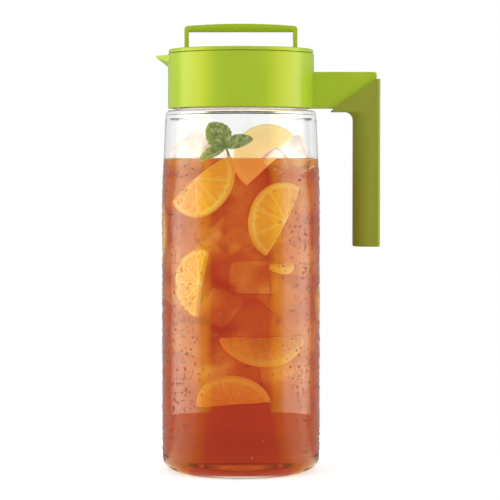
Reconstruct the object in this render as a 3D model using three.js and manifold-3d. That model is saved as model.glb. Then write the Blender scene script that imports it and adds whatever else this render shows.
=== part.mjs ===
// A round clear pitcher with a screwed-on collar, a lid that turns to pour and a folding bail.
// Lengths are in millimetres and Z is up. The origin is the middle of the base.
// The spout points to -X and the handle to +X.

import * as THREE from 'three';
import { mergeVertices } from 'three/addons/utils/BufferGeometryUtils.js';
import { ConvexGeometry } from 'three/addons/geometries/ConvexGeometry.js';
import Module from 'manifold-3d';

const wasm = await Module();
wasm.setup();

// Steps round a turned piece, a small pin and a corner, along a screw thread and along an arch.
const turnedSteps = 48;
const pinSteps = 20;
const cornerSteps = 3;
const curveSteps = 5;
const threadStepsPerTurn = 36;
const archSteps = 10;

// Clearances shared by all the pieces.
const seatGap = 0.3;
const runningGap = 0.4;
const sealGap = 0.2;
const pinGap = 0.15;
const cutOverrun = 1.0;

// Clear body.
const bodyRadius = 53.0;
const bodyWall = 2.6;
const baseThickness = 3.2;
const baseRound = 9.5;
const baseGrooveInner = 14.0;
const baseGrooveOuter = 37.0;
const baseGrooveDepth = 0.9;
const baseGrooveSlope = 1.6;
const straightHeight = 179.0;
const taperEase = 13.0;
const shoulderHeight = 242.5;
const shoulderNarrowing = 2.4;
const shoulderRound = 3.0;

// Neck of the body, and the screw thread that the collar shares.
const neckHeight = 19.5;
const neckWall = 2.6;
const neckFillet = 1.0;
const neckRimRound = 0.7;
const threadHeight = 1.7;
const threadClearance = 0.4;
const threadPitch = 4.5;
const threadRootWidth = 1.9;
const threadCrestWidth = 0.8;
const threadRise = 5.0;
const threadSink = 0.3;
const threadTurns = 1.25;
const threadFadeTurns = 0.12;

// Collar.
const collarRadius = 49.1;
const collarWall = 3.0;
const collarLift = 1.5;
const collarEdgeRound = 0.6;
const webThickness = 2.4;

// Spout, with its window through the collar's wall.
const spoutReach = 7.9;
const spoutHeight = 8.9;
const spoutDrop = 1.0;
const spoutHalfWidth = 12.5;
const spoutSideHeight = 5.0;
const spoutTipHeight = 1.3;
const spoutTipHalfWidth = 0.9;
const spoutWall = 1.5;
const spoutWindowDrop = 3.2;

// Grip sleeve, and the arm and core that fit inside it.
const fingerGap = 22.2;
const gripWidth = 18.1;
const gripDepth = 24.0;
const gripFlat = 8.2;
const gripCornerRound = 2.0;
const gripDrop = 92.8;
const gripWall = 2.0;
const gripInnerFillet = 5.5;
const gripEndRound = 0.8;
const gripLipReach = 14.2;
const gripLipHeight = 1.0;
const gripTopDrop = 4.8;
const armHeight = 24.3;
const armCornerRound = 1.6;
const armEdgeChamfer = 0.7;
const coreWall = 2.8;

// Gasket between the neck's rim and the collar's web.
const gasketThickness = 1.6;

// Strainer insert: a plug with a slotted disc, a post and two keys.
const insertThickness = 1.8;
const plugWall = 2.0;
const plugDepth = 12.6;
const plugSealHeight = 2.6;
const plugSealRise = 2.4;
const plugSealDepth = 1.1;
const keyHalfWidth = 3.0;
const keyReach = 2.0;
const keyHeight = 1.2;
const slotWidth = 2.6;
const slotLand = 2.0;
const slotRootGap = 4.0;
const slotInnerLength = 10.5;
const slotEndGap = 4.5;
const slotInnerCount = 12;
const slotOuterCount = 24;
const postRadius = 5.0;
const postGrip = 1.3;

// Lid cap.
const rimInset = 0.5;
const rimHeight = 2.6;
const rimGap = 0.4;
const rimRound = 1.1;
const skirtWall = 1.9;
const skirtGap = 0.5;
const capThickness = 1.8;
const pourGap = 4.9;
const pocketCornerRound = 3.0;
const pocketCornerWall = 2.1;
const pocketSideGap = 0.6;
const pocketEndGap = 0.7;
const pocketSpare = 1.7;
const pivotBlockHalfWidth = 4.2;
const hubWall = 2.0;
const windowSideMargin = 2.0;
const capSealHeight = 1.3;
const capSealDrop = 0.6;
const capSealDepth = 1.1;
const padSideMargin = 2.5;
const padMargin = 0.5;
const padThickness = 1.0;

// Clip and seal on the insert's post.
const clipRadius = 8.5;
const clipCrown = 1.2;
const clipEdgeRound = 0.7;
const hubSealThickness = 1.2;

// Folding bail.
const bailInset = 10.6;
const bailStrap = 3.0;
const bailDepth = 6.4;
const bailArch = 1.5;
const bailCornerRound = 2.2;
const bailBelly = 2.7;
const bailBellyInset = 0.4;
const bailEdgeChamfer = 0.5;
const pinRadius = 2.0;
const pinLength = 2.6;

// Shares that shape a curve or halve a wall.
const fullFilletShare = 0.35;
const wallMiddleShare = 0.5;

// Radii that follow from the sizes above.
const shoulderRadius = bodyRadius - shoulderNarrowing;
const collarBore = collarRadius - collarWall;
const neckRadius = collarBore - threadHeight - threadClearance;
const neckBore = neckRadius - neckWall;
const plugRadius = neckBore - runningGap;
const plugBore = plugRadius - plugWall;
const skirtRadius = collarBore - runningGap;
const skirtBore = skirtRadius - skirtWall;
const rimRadius = collarRadius - rimInset;

// Heights that follow from the sizes above, from the neck up.
const collarBottom = shoulderHeight + collarLift;
const neckTop = shoulderHeight + neckHeight;
const gasketBottom = neckTop + seatGap;
const webBottom = gasketBottom + gasketThickness + seatGap;
const webTop = webBottom + webThickness;
const plugBottom = webBottom - plugDepth;
const insertBottom = webTop + seatGap;
const insertTop = insertBottom + insertThickness;
const hubSealBottom = insertTop + seatGap;
const hubBottom = hubSealBottom + hubSealThickness + seatGap;
const skirtBottom = insertTop + skirtGap;
const floorBottom = insertTop + pourGap;
const floorTop = floorBottom + capThickness;
const clipBottom = floorTop + seatGap;
const postTop = clipBottom + postGrip;
const clipTop = postTop + seatGap + clipCrown;
const pivotHeight = floorTop + bailDepth / 2 + runningGap;
const capTop = floorTop + bailDepth + pocketSpare;
const rimBottom = capTop - rimHeight;
const collarTop = rimBottom - rimGap;
const spoutTop = collarTop - spoutDrop;
const windowTop = collarTop - spoutWindowDrop;

// The spout starts inside the collar's wall and ends in its tip.
const spoutRootX = collarRadius - collarWall * wallMiddleShare;
const spoutTipX = collarRadius + spoutReach;
const spoutRun = spoutTipX - spoutRootX;

// The pocket in the lid is as long as its corners allow, and the bail just fits it.
const bailHalf = rimRadius - bailInset;
const pocketHalfX = bailHalf + pocketSideGap;
const pocketCornerReach = skirtRadius - pocketCornerWall - pocketCornerRound;
const pocketCornerX = pocketHalfX - pocketCornerRound;
const pocketHalfY = pocketCornerRound + Math.sqrt(pocketCornerReach ** 2 - pocketCornerX ** 2);
const bailTop = pivotHeight + pocketHalfY - pocketEndGap;

// The sleeve hangs from the arm, whose end and depth follow from it.
const gripInnerX = bodyRadius + fingerGap;
const gripOuterX = gripInnerX + gripWidth;
const gripFlatX = gripOuterX - gripFlat;
const gripBottom = collarBottom - gripDrop;
const coreInset = gripWall + seatGap;
const armBottom = collarBottom;
const armTop = armBottom + armHeight;
const armRootX = collarRadius - collarWall * wallMiddleShare;
const armEndX = gripOuterX - coreInset;
const armHalfDepth = gripDepth / 2 - coreInset;
const lipHeight = armBottom - coreInset;
const filletX = gripInnerX - gripInnerFillet;
const filletHeight = lipHeight - gripInnerFillet;

// A closed geometry becomes a solid, with its faces turned round if they point inwards.
function toSolid(geometry) {
  const bare = geometry.clone();
  bare.deleteAttribute('normal');
  bare.deleteAttribute('uv');
  const merged = mergeVertices(bare);
  const places = merged.attributes.position;
  const corner = [new THREE.Vector3(), new THREE.Vector3(), new THREE.Vector3()];
  const kept = [];
  let volume = 0;
  for (let i = 0; i < merged.index.count; i += 3) {
    const [a, b, c] = [0, 1, 2].map((k) => merged.index.getX(i + k));
    if (a !== b && b !== c && c !== a) {
      kept.push([a, b, c]);
      [a, b, c].forEach((vertex, k) => corner[k].fromBufferAttribute(places, vertex));
      volume += corner[0].dot(corner[1].cross(corner[2]));
    }
  }
  const ordered = volume < 0 ? kept.map(([a, b, c]) => [a, c, b]) : kept;
  return new wasm.Manifold(new wasm.Mesh({
    numProp: 3,
    vertProperties: new Float32Array(places.array),
    triVerts: new Uint32Array(ordered.flat()),
  }));
}

// A solid becomes a geometry for its mesh.
function toGeometry(solid) {
  const { vertProperties, triVerts } = solid.getMesh();
  const geometry = new THREE.BufferGeometry();
  geometry.setAttribute('position', new THREE.BufferAttribute(vertProperties, 3));
  geometry.setIndex(new THREE.BufferAttribute(triVerts, 1));
  geometry.computeVertexNormals();
  return geometry;
}

// An arc of [across, up] points about a centre, between two angles in degrees.
function arc(across, up, radius, fromDegrees, toDegrees, steps = cornerSteps) {
  const points = [];
  for (let i = 0; i <= steps; i += 1) {
    const degrees = fromDegrees + ((toDegrees - fromDegrees) * i) / steps;
    const angle = THREE.MathUtils.degToRad(degrees);
    points.push([across + radius * Math.cos(angle), up + radius * Math.sin(angle)]);
  }
  return points;
}

// A profile of [radius, height] points is turned about Z. It starts and ends on the axis.
function turned(profile, steps = turnedSteps) {
  const points = profile.map(([radius, height]) => new THREE.Vector2(radius, height));
  const geometry = new THREE.LatheGeometry(points, steps);
  geometry.rotateX(Math.PI / 2);
  return toSolid(geometry);
}

// A closed profile beside the axis makes a ring.
function ring(profile, steps = turnedSteps) {
  return turned([...profile, profile[0]], steps);
}

// A ring of rectangular section.
function plainRing(innerRadius, outerRadius, bottom, top, steps = turnedSteps) {
  const profile = [[innerRadius, bottom], [outerRadius, bottom], [outerRadius, top], [innerRadius, top]];
  return ring(profile, steps);
}

// An outline of [x, z] points is pushed along Y to both sides of the middle plane.
function frontPrism(outline, halfDepth, chamfer = 0) {
  const shape = new THREE.Shape(outline.map(([x, z]) => new THREE.Vector2(x, z)));
  const geometry = new THREE.ExtrudeGeometry(shape, {
    depth: 2 * (halfDepth - chamfer),
    bevelEnabled: chamfer > 0,
    bevelThickness: chamfer,
    bevelSize: chamfer,
    bevelOffset: -chamfer,
    bevelSegments: 1,
  });
  geometry.rotateX(Math.PI / 2);
  geometry.translate(0, halfDepth - chamfer, 0);
  return toSolid(geometry);
}

// A box between two corners.
function block(x0, x1, y0, y1, z0, z1) {
  const geometry = new THREE.BoxGeometry(x1 - x0, y1 - y0, z1 - z0);
  geometry.translate((x0 + x1) / 2, (y0 + y1) / 2, (z0 + z1) / 2);
  return toSolid(geometry);
}

// The smallest convex solid round a few points.
function hull(points) {
  return toSolid(new ConvexGeometry(points.map(([x, y, z]) => new THREE.Vector3(x, y, z))));
}

// Rings of as many points each are joined in order, and the two end rings are closed.
function loft(rings) {
  const count = rings[0].length;
  const index = [];
  for (let i = 0; i + 1 < rings.length; i += 1) {
    for (let k = 0; k < count; k += 1) {
      const a = i * count + k;
      const b = i * count + ((k + 1) % count);
      index.push(a, b, b + count, a, b + count, a + count);
    }
  }
  const last = (rings.length - 1) * count;
  for (let k = 1; k + 1 < count; k += 1) {
    index.push(0, k + 1, k, last, last + k, last + k + 1);
  }
  const geometry = new THREE.BufferGeometry();
  geometry.setAttribute('position', new THREE.Float32BufferAttribute(rings.flat(2), 3));
  geometry.setIndex(index);
  return toSolid(geometry);
}

// A rounded rectangle about the axis, between two heights.
function roundedBlock(halfX, halfY, cornerRadius, bottom, top) {
  const insideX = halfX - cornerRadius;
  const insideY = halfY - cornerRadius;
  const outline = [
    ...arc(insideX, insideY, cornerRadius, 0, 90),
    ...arc(-insideX, insideY, cornerRadius, 90, 180),
    ...arc(-insideX, -insideY, cornerRadius, 180, 270),
    ...arc(insideX, -insideY, cornerRadius, 270, 360),
  ];
  return loft([bottom, top].map((height) => outline.map(([x, y]) => [x, y, height])));
}

// A pin along X between two places, at the bail's pivots.
function pivotCylinder(radius, x0, x1) {
  const geometry = new THREE.CylinderGeometry(radius, radius, x1 - x0, pinSteps);
  geometry.rotateZ(Math.PI / 2);
  geometry.translate((x0 + x1) / 2, 0, pivotHeight);
  return toSolid(geometry);
}

// One ridge of a screw thread. It rises out of the wall at one end and sinks back at the other.
function threadRidge(wallRadius, crestRadius, startHeight) {
  const outward = Math.sign(crestRadius - wallRadius);
  const steps = Math.round(threadTurns * threadStepsPerTurn);
  const rings = [];
  for (let i = 0; i <= steps; i += 1) {
    const turn = (threadTurns * i) / steps;
    const growth = Math.min(1, turn / threadFadeTurns, (threadTurns - turn) / threadFadeTurns);
    const buried = wallRadius - outward * threadSink;
    const crest = buried + (crestRadius - buried) * growth;
    const root = buried - outward * threadSink;
    const height = startHeight + turn * threadPitch;
    const angle = 2 * Math.PI * turn;
    const section = [
      [root, height - threadRootWidth / 2],
      [crest, height - threadCrestWidth / 2],
      [crest, height + threadCrestWidth / 2],
      [root, height + threadRootWidth / 2],
    ];
    rings.push(section.map(([radius, z]) => [radius * Math.cos(angle), radius * Math.sin(angle), z]));
  }
  return loft(rings);
}

// The taper of the clear body from its straight wall to the shoulder, set in by a wall.
function taper(inset, topHeight) {
  const curve = new THREE.QuadraticBezierCurve(
    new THREE.Vector2(bodyRadius - inset, straightHeight),
    new THREE.Vector2(bodyRadius - inset, straightHeight + taperEase),
    new THREE.Vector2(shoulderRadius - inset, topHeight),
  );
  return curve.getPoints(curveSteps).map((point) => [point.x, point.y]);
}

function makeBody() {
  const shoulderUnder = shoulderHeight - bodyWall;
  const innerBaseRound = baseRound - bodyWall;
  const innerRadius = bodyRadius - bodyWall;
  const shell = turned([
    [0, 0],
    [baseGrooveInner, 0],
    [baseGrooveInner + baseGrooveSlope, baseGrooveDepth],
    [baseGrooveOuter - baseGrooveSlope, baseGrooveDepth],
    [baseGrooveOuter, 0],
    ...arc(bodyRadius - baseRound, baseRound, baseRound, -90, 0, curveSteps),
    ...taper(0, shoulderHeight - shoulderRound),
    ...arc(shoulderRadius - shoulderRound, shoulderHeight - shoulderRound, shoulderRound, 0, 90).slice(1),
    [neckRadius + neckFillet, shoulderHeight],
    [neckRadius, shoulderHeight + neckFillet],
    [neckRadius, neckTop - neckRimRound],
    [neckRadius - neckRimRound, neckTop],
    [neckBore + neckRimRound, neckTop],
    [neckBore, neckTop - neckRimRound],
    [neckBore, shoulderUnder],
    ...arc(
      shoulderRadius - bodyWall - shoulderRound,
      shoulderUnder - shoulderRound,
      shoulderRound,
      90,
      0,
    ),
    ...taper(bodyWall, shoulderUnder - shoulderRound).reverse().slice(1),
    ...arc(innerRadius - innerBaseRound, baseThickness + innerBaseRound, innerBaseRound, 0, -90),
    [0, baseThickness],
  ]);
  return shell.add(threadRidge(neckRadius, neckRadius + threadHeight, shoulderHeight + threadRise));
}

function makeGasket() {
  return plainRing(neckBore, collarBore - seatGap, gasketBottom, gasketBottom + gasketThickness);
}

// The beak's section at a distance from the axis, set in by a wall, and cut off at a height.
function spoutSection(x, inset, top) {
  const out = x - spoutRootX;
  const flare = (spoutHalfWidth - spoutTipHalfWidth) / spoutRun;
  const slope = (spoutHeight - spoutTipHeight) / spoutRun;
  const sideSlope = (spoutSideHeight - spoutTipHeight) / spoutRun;
  const halfWidth = Math.max(spoutHalfWidth - out * flare - inset * Math.hypot(1, flare), seatGap);
  const keel = spoutTop - spoutHeight + out * slope + inset * Math.hypot(1, slope);
  const sideBottom = spoutTop - spoutSideHeight + out * sideSlope + inset * wallMiddleShare;
  const side = Math.max(Math.min(sideBottom, top - seatGap), keel);
  return [
    [-x, 0, keel],
    [-x, halfWidth, side],
    [-x, halfWidth, top],
    [-x, -halfWidth, top],
    [-x, -halfWidth, side],
  ];
}

function makeBeak() {
  return hull([
    ...spoutSection(spoutRootX, 0, spoutTop),
    ...spoutSection(spoutTipX, 0, spoutTop),
  ]);
}

// The trough in the beak is open above, and a window through the wall leads to it.
function makeTrough() {
  return hull([
    ...spoutSection(collarRadius, spoutWall, spoutTop + cutOverrun),
    ...spoutSection(spoutTipX - spoutWall, spoutWall, spoutTop + cutOverrun),
  ]);
}

function makeSpoutWindow() {
  const section = spoutSection(collarRadius, spoutWall, windowTop);
  const places = [collarBore - cutOverrun, collarRadius + seatGap];
  return hull(places.flatMap((x) => section.map(([, y, z]) => [-x, y, z])));
}

// One ring of the grip: flat faces, small outer corners and a rounded side for the fingers.
function gripRing(height, inset, innerX, fullness) {
  const outerX = gripOuterX - inset;
  const halfDepth = gripDepth / 2 - inset;
  const cornerRadius = Math.max(gripCornerRound - inset, seatGap);
  const corner = arc(outerX - cornerRadius, halfDepth - cornerRadius, cornerRadius, 0, 90);
  const fingerSide = [];
  for (let i = 0; i <= 2 * archSteps; i += 1) {
    const angle = (Math.PI * i) / (2 * archSteps);
    const across = Math.max(Math.sin(angle), 0) ** fullness;
    const along = Math.sign(Math.cos(angle)) * Math.abs(Math.cos(angle)) ** fullness;
    fingerSide.push([gripFlatX - (gripFlatX - innerX) * across, halfDepth * along]);
  }
  const mirrored = corner.map(([x, y]) => [x, -y]).reverse();
  return [...corner, ...fingerSide, ...mirrored].map(([x, y]) => [x, y, height]);
}

// The upright part of the grip, set in by a wall, from its end up to a height.
function gripColumn(inset, bottom, top) {
  const rings = [
    gripRing(bottom, inset + gripEndRound, gripInnerX + inset + gripEndRound, 1),
    gripRing(bottom + gripEndRound, inset, gripInnerX + inset, 1),
  ];
  const reachesArm = top > lipHeight;
  const steps = reachesArm ? curveSteps : 0;
  for (let i = 0; i <= steps; i += 1) {
    const share = steps ? i / steps : 0;
    const angle = (share * Math.PI) / 2;
    const height = filletHeight + (gripInnerFillet + inset) * Math.sin(angle);
    const innerX = filletX + (gripInnerFillet + inset) * Math.cos(angle);
    rings.push(gripRing(height, inset, innerX, 1 - (1 - fullFilletShare) * share));
  }
  if (reachesArm) {
    rings.push(gripRing(top, inset, filletX, fullFilletShare));
  }
  return loft(rings);
}

// The part of the sleeve that wraps the arm's end, set in by a wall.
function gripHead(inset) {
  const halfDepth = gripDepth / 2 - inset;
  const outerX = gripOuterX - inset;
  const cornerRadius = Math.max(gripCornerRound - inset, seatGap);
  const endX = gripInnerX - gripLipReach - cutOverrun;
  const corner = arc(outerX - cornerRadius, halfDepth - cornerRadius, cornerRadius, 0, 90);
  const outline = [
    ...corner,
    [endX, halfDepth],
    [endX, -halfDepth],
    ...corner.map(([x, y]) => [x, -y]).reverse(),
  ];
  return loft([lipHeight + inset, armTop].map((height) => outline.map(([x, y]) => [x, y, height])));
}

function makeGrip() {
  const tipX = gripInnerX - gripLipReach;
  const top = armTop - gripTopDrop;
  const kept = frontPrism([
    [tipX, gripBottom - cutOverrun],
    [gripOuterX + cutOverrun, gripBottom - cutOverrun],
    [gripOuterX + cutOverrun, top],
    [armEndX, top],
    [tipX, lipHeight + gripLipHeight],
  ], gripDepth);
  const outside = gripColumn(0, gripBottom, armBottom).add(gripHead(0)).intersect(kept);
  const inside = gripColumn(gripWall, gripBottom + gripWall, armBottom).add(gripHead(gripWall));
  return outside.subtract(inside);
}

function makeArm() {
  return frontPrism([
    [armRootX, armBottom],
    [armEndX, armBottom],
    ...arc(armEndX - armCornerRound, armTop - armCornerRound, armCornerRound, 0, 90),
    [armRootX, armTop],
  ], armHalfDepth, armEdgeChamfer);
}

function makeHandleCore() {
  const coreBottom = gripBottom + coreInset;
  const outside = gripColumn(coreInset, coreBottom, armBottom + armEdgeChamfer + cutOverrun);
  const hollow = gripColumn(coreInset + coreWall, coreBottom - cutOverrun, filletHeight);
  return outside.subtract(hollow);
}

function makeCollar() {
  const round = collarEdgeRound;
  const tube = ring([
    [collarBore, collarBottom],
    [collarRadius - round, collarBottom],
    [collarRadius, collarBottom + round],
    [collarRadius, collarTop - round],
    [collarRadius - round, collarTop],
    [collarBore, collarTop],
    [collarBore, webTop],
    [neckBore, webTop],
    [neckBore, webBottom],
    [collarBore, webBottom],
  ]);
  const threadBase = shoulderHeight + threadRise + threadPitch / 2;
  const thread = threadRidge(collarBore, neckRadius + threadClearance, threadBase);
  const handle = makeArm().add(makeHandleCore());
  let collar = tube.add(thread).add(makeBeak()).add(handle);
  collar = collar.subtract(makeTrough()).subtract(makeSpoutWindow());
  [-1, 1].forEach((side) => {
    const notch = block(
      -keyHalfWidth - seatGap,
      keyHalfWidth + seatGap,
      neckBore - cutOverrun,
      neckBore + keyReach + seatGap,
      webTop - keyHeight - seatGap,
      webTop + cutOverrun,
    );
    collar = collar.subtract(side > 0 ? notch : notch.mirror([0, 1, 0]));
  });
  return collar;
}

// Slots through the insert's disc hold back ice and fruit.
function strainerSlots(count, innerRadius, length) {
  const slots = [];
  for (let i = 0; i < count; i += 1) {
    const slot = block(
      innerRadius,
      innerRadius + length,
      -slotWidth / 2,
      slotWidth / 2,
      insertBottom - cutOverrun,
      insertTop + cutOverrun,
    );
    slots.push(slot.rotate([0, 0, (360 * (i + 0.5)) / count]));
  }
  return slots;
}

function makeInsert() {
  const grooveBottom = plugBottom + plugSealRise - sealGap;
  const grooveTop = plugBottom + plugSealRise + plugSealHeight + sealGap;
  let insert = turned([
    [0, insertBottom],
    [plugBore, insertBottom],
    [plugBore, plugBottom],
    [plugRadius, plugBottom],
    [plugRadius, grooveBottom],
    [plugRadius - plugSealDepth, grooveBottom],
    [plugRadius - plugSealDepth, grooveTop],
    [plugRadius, grooveTop],
    [plugRadius, insertBottom],
    [skirtRadius, insertBottom],
    [skirtRadius, insertTop],
    [postRadius, insertTop],
    [postRadius, postTop],
    [0, postTop],
  ]);
  [-1, 1].forEach((side) => {
    const key = block(
      -keyHalfWidth,
      keyHalfWidth,
      plugRadius - plugWall * wallMiddleShare,
      neckBore + keyReach,
      webTop - keyHeight,
      insertBottom + insertThickness * wallMiddleShare,
    );
    insert = insert.add(side > 0 ? key : key.mirror([0, 1, 0]));
  });
  const innerStart = postRadius + slotRootGap;
  const outerStart = innerStart + slotInnerLength + slotLand;
  const slots = [
    ...strainerSlots(slotInnerCount, innerStart, slotInnerLength),
    ...strainerSlots(slotOuterCount, outerStart, plugBore - slotEndGap - outerStart),
  ];
  return slots.reduce((piece, slot) => piece.subtract(slot), insert);
}

function makeInsertSeal() {
  const bottom = plugBottom + plugSealRise;
  const middle = bottom + plugSealHeight / 2;
  return ring([
    [plugRadius - plugSealDepth + sealGap, bottom],
    [plugRadius, bottom],
    [neckBore - sealGap, middle],
    [plugRadius, bottom + plugSealHeight],
    [plugRadius - plugSealDepth + sealGap, bottom + plugSealHeight],
  ]);
}

function makeHubClip() {
  const bore = postRadius + seatGap;
  return turned([
    [0, postTop + seatGap],
    [bore, postTop + seatGap],
    [bore, clipBottom],
    [clipRadius, clipBottom],
    [clipRadius, clipTop - clipEdgeRound],
    [clipRadius - clipEdgeRound, clipTop],
    [0, clipTop],
  ], turnedSteps / 2);
}

function makeHubSeal() {
  const inner = postRadius + seatGap;
  return plainRing(inner, inner + hubWall, hubSealBottom, hubSealBottom + hubSealThickness, turnedSteps / 2);
}

// The pad sits over the spout's window while the lid is closed.
function padForm(margin, outerRadius) {
  const [[, , keel], [, halfWidth]] = spoutSection(collarRadius, spoutWall, windowTop);
  const innerRadius = collarBore - sealGap - padThickness - margin;
  const halfSpan = halfWidth + padSideMargin + margin;
  const bottom = keel - padMargin - margin;
  const top = windowTop + padMargin + margin;
  const sector = block(-outerRadius - cutOverrun, -innerRadius / 2, -halfSpan, halfSpan, bottom, top);
  return plainRing(innerRadius, outerRadius, bottom, top).intersect(sector);
}

function makeCap() {
  const plateBottom = capTop - capThickness;
  const shell = turned([
    [0, plateBottom],
    [skirtBore, plateBottom],
    [skirtBore, skirtBottom],
    [skirtRadius, skirtBottom],
    [skirtRadius, rimBottom],
    [rimRadius, rimBottom],
    ...arc(rimRadius - rimRound, capTop - rimRound, rimRound, 0, 90),
    [0, capTop],
  ]);
  const wall = capThickness;
  const walledX = pocketHalfX + wall;
  const walledY = pocketHalfY + wall;
  const pocketBox = roundedBlock(walledX, walledY, pocketCornerRound + wall, floorBottom, capTop);
  const hub = plainRing(postRadius, postRadius + seatGap + hubWall, hubBottom, floorTop, turnedSteps / 2);
  const blockEnd = skirtRadius - skirtWall * wallMiddleShare;
  const pivotBlock = block(
    -blockEnd,
    blockEnd,
    -pivotBlockHalfWidth,
    pivotBlockHalfWidth,
    floorBottom,
    capTop - rimRound,
  );
  const pocket = roundedBlock(
    pocketHalfX,
    pocketHalfY,
    pocketCornerRound,
    floorTop,
    capTop + cutOverrun,
  );
  const holeReach = bailHalf + pinLength + runningGap;
  const pivotHoles = pivotCylinder(pinRadius + pinGap, -holeReach, holeReach);
  const postHole = plainRing(0, postRadius + seatGap, hubBottom - cutOverrun, floorTop + cutOverrun);
  const sealTop = collarTop - capSealDrop;
  const sealGroove = plainRing(
    skirtRadius - capSealDepth,
    skirtRadius + cutOverrun,
    sealTop - capSealHeight - sealGap,
    sealTop + sealGap,
  );
  const [, [, spoutHalf]] = spoutSection(collarRadius, spoutWall, windowTop);
  const window = block(
    -spoutHalf - windowSideMargin,
    spoutHalf + windowSideMargin,
    skirtBore - skirtWall,
    skirtRadius + cutOverrun,
    skirtBottom - cutOverrun,
    windowTop,
  );
  return shell
    .add(pocketBox)
    .add(pivotBlock)
    .add(hub)
    .subtract(pocket)
    .subtract(pivotHoles)
    .subtract(postHole)
    .subtract(window)
    .subtract(sealGroove)
    .subtract(padForm(sealGap, skirtRadius + cutOverrun));
}

function makeCapSeal() {
  const top = collarTop - capSealDrop;
  return plainRing(skirtRadius - capSealDepth + sealGap, collarBore - sealGap, top - capSealHeight, top);
}

// The bail is an arched strap with two legs, and its grip swells below the arch.
function archHeight(x, drop) {
  const span = bailHalf - bailCornerRound;
  return bailTop - drop - bailArch * (x / span) ** 2;
}

function archPoints(halfSpan, drop) {
  const points = [];
  for (let i = 0; i <= archSteps; i += 1) {
    const x = -halfSpan + (2 * halfSpan * i) / archSteps;
    points.push([x, archHeight(x, drop)]);
  }
  return points;
}

function makeBail() {
  const cornerX = bailHalf - bailCornerRound;
  const cornerHeight = archHeight(cornerX, 0) - bailCornerRound;
  const legInner = bailHalf - bailStrap;
  const strap = frontPrism([
    [-bailHalf, pivotHeight],
    ...arc(-cornerX, cornerHeight, bailCornerRound, 180, 90),
    ...archPoints(cornerX, 0).slice(1, -1),
    ...arc(cornerX, cornerHeight, bailCornerRound, 90, 0),
    [bailHalf, pivotHeight],
    [legInner, pivotHeight],
    ...archPoints(legInner, bailStrap).reverse(),
    [-legInner, pivotHeight],
  ], bailDepth / 2, bailEdgeChamfer);
  const bellyHalfDepth = bailDepth / 2 - bailBellyInset;
  const bellyBottom = bailTop - bailStrap - bailBelly;
  const bellyRings = archPoints(legInner + bailEdgeChamfer, bailStrap).map(([x, underside]) => [
    [x, -bellyHalfDepth, underside + bailEdgeChamfer],
    ...arc(0, 0, 1, 180, 360, 2 * cornerSteps).map(([across, up]) => [
      x,
      across * bellyHalfDepth,
      underside + up * (underside - bellyBottom),
    ]),
    [x, bellyHalfDepth, underside + bailEdgeChamfer],
  ]);
  let bail = strap.add(loft(bellyRings));
  [[-bailHalf, -legInner], [legInner, bailHalf]].forEach(([x0, x1]) => {
    bail = bail.add(pivotCylinder(bailDepth / 2, x0, x1));
  });
  [[-bailHalf - pinLength, -legInner], [legInner, bailHalf + pinLength]].forEach(([x0, x1]) => {
    bail = bail.add(pivotCylinder(pinRadius, x0, x1));
  });
  return bail;
}

// Finishes.
const lime = { color: 0xa4bf3a, roughness: 0.42, metalness: 0 };
const olive = { color: 0x8a8b36, roughness: 0.7, metalness: 0 };
const clear = { color: 0xeef3f3, roughness: 0.08, metalness: 0, transparent: true, opacity: 0.35 };
const silicone = { color: 0xe4e6de, roughness: 0.6, metalness: 0 };

function mesh(name, solid, finish) {
  const piece = new THREE.Mesh(toGeometry(solid), new THREE.MeshStandardMaterial(finish));
  piece.name = name;
  return piece;
}

const pitcher = new THREE.Group();
pitcher.add(
  mesh('pitcher_body', makeBody(), clear),
  mesh('neck_gasket', makeGasket(), silicone),
  mesh('collar', makeCollar(), lime),
  mesh('handle_grip', makeGrip(), olive),
);

const lid = new THREE.Group();
lid.add(
  mesh('strainer_insert', makeInsert(), lime),
  mesh('insert_seal', makeInsertSeal(), silicone),
  mesh('hub_clip', makeHubClip(), lime),
  mesh('hub_seal', makeHubSeal(), silicone),
  mesh('lid_cap', makeCap(), lime),
  mesh('cap_seal', makeCapSeal(), silicone),
  mesh('spout_pad', padForm(0, collarBore - sealGap), silicone),
  mesh('bail_handle', makeBail(), lime),
);
pitcher.add(lid);

export default pitcher;
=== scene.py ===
# %% [markdown]
# # A clear pitcher of iced tea
#
# This lesson dresses a fixed construction model of a pitcher with finished surfaces. The model
# comes from another program, and it holds the true sizes: a clear body, a collar with a spout and a
# handle, a lid that turns and lifts out, and a small bail that folds. Blender's part is the look of
# every surface, and the drink inside.

# %% Load the fixed frame
import math
import random

import bmesh
import bpy
from mathutils import Matrix, Vector


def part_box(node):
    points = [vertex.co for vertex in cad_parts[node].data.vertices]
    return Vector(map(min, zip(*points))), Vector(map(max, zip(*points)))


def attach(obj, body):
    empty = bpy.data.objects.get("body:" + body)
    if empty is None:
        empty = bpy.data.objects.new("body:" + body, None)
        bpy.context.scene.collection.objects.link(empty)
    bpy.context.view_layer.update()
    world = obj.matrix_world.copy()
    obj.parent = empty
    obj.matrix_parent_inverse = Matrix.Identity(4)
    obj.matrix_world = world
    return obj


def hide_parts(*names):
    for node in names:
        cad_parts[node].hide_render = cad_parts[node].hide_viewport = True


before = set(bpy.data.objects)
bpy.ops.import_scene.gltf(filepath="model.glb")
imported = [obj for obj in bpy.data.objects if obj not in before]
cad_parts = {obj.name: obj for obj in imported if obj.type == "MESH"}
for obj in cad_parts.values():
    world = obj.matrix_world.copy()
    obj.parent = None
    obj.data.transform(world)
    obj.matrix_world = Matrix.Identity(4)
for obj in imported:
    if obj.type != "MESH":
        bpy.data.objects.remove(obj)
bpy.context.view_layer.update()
MM = 0.001

# %% [markdown]
# ## The camera
#
# The picture was taken from close to the height of the drink's surface, with a long lens, so the
# rings of the lid and the base are nearly flat lines. Blender could fit a camera by hand, but the
# arcs of the rings give its height and distance, so it is set by numbers and aimed a little down.
# Light crosses many walls of plastic, tea and ice before it gets out again, so it may bounce more
# often than by default.

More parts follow.
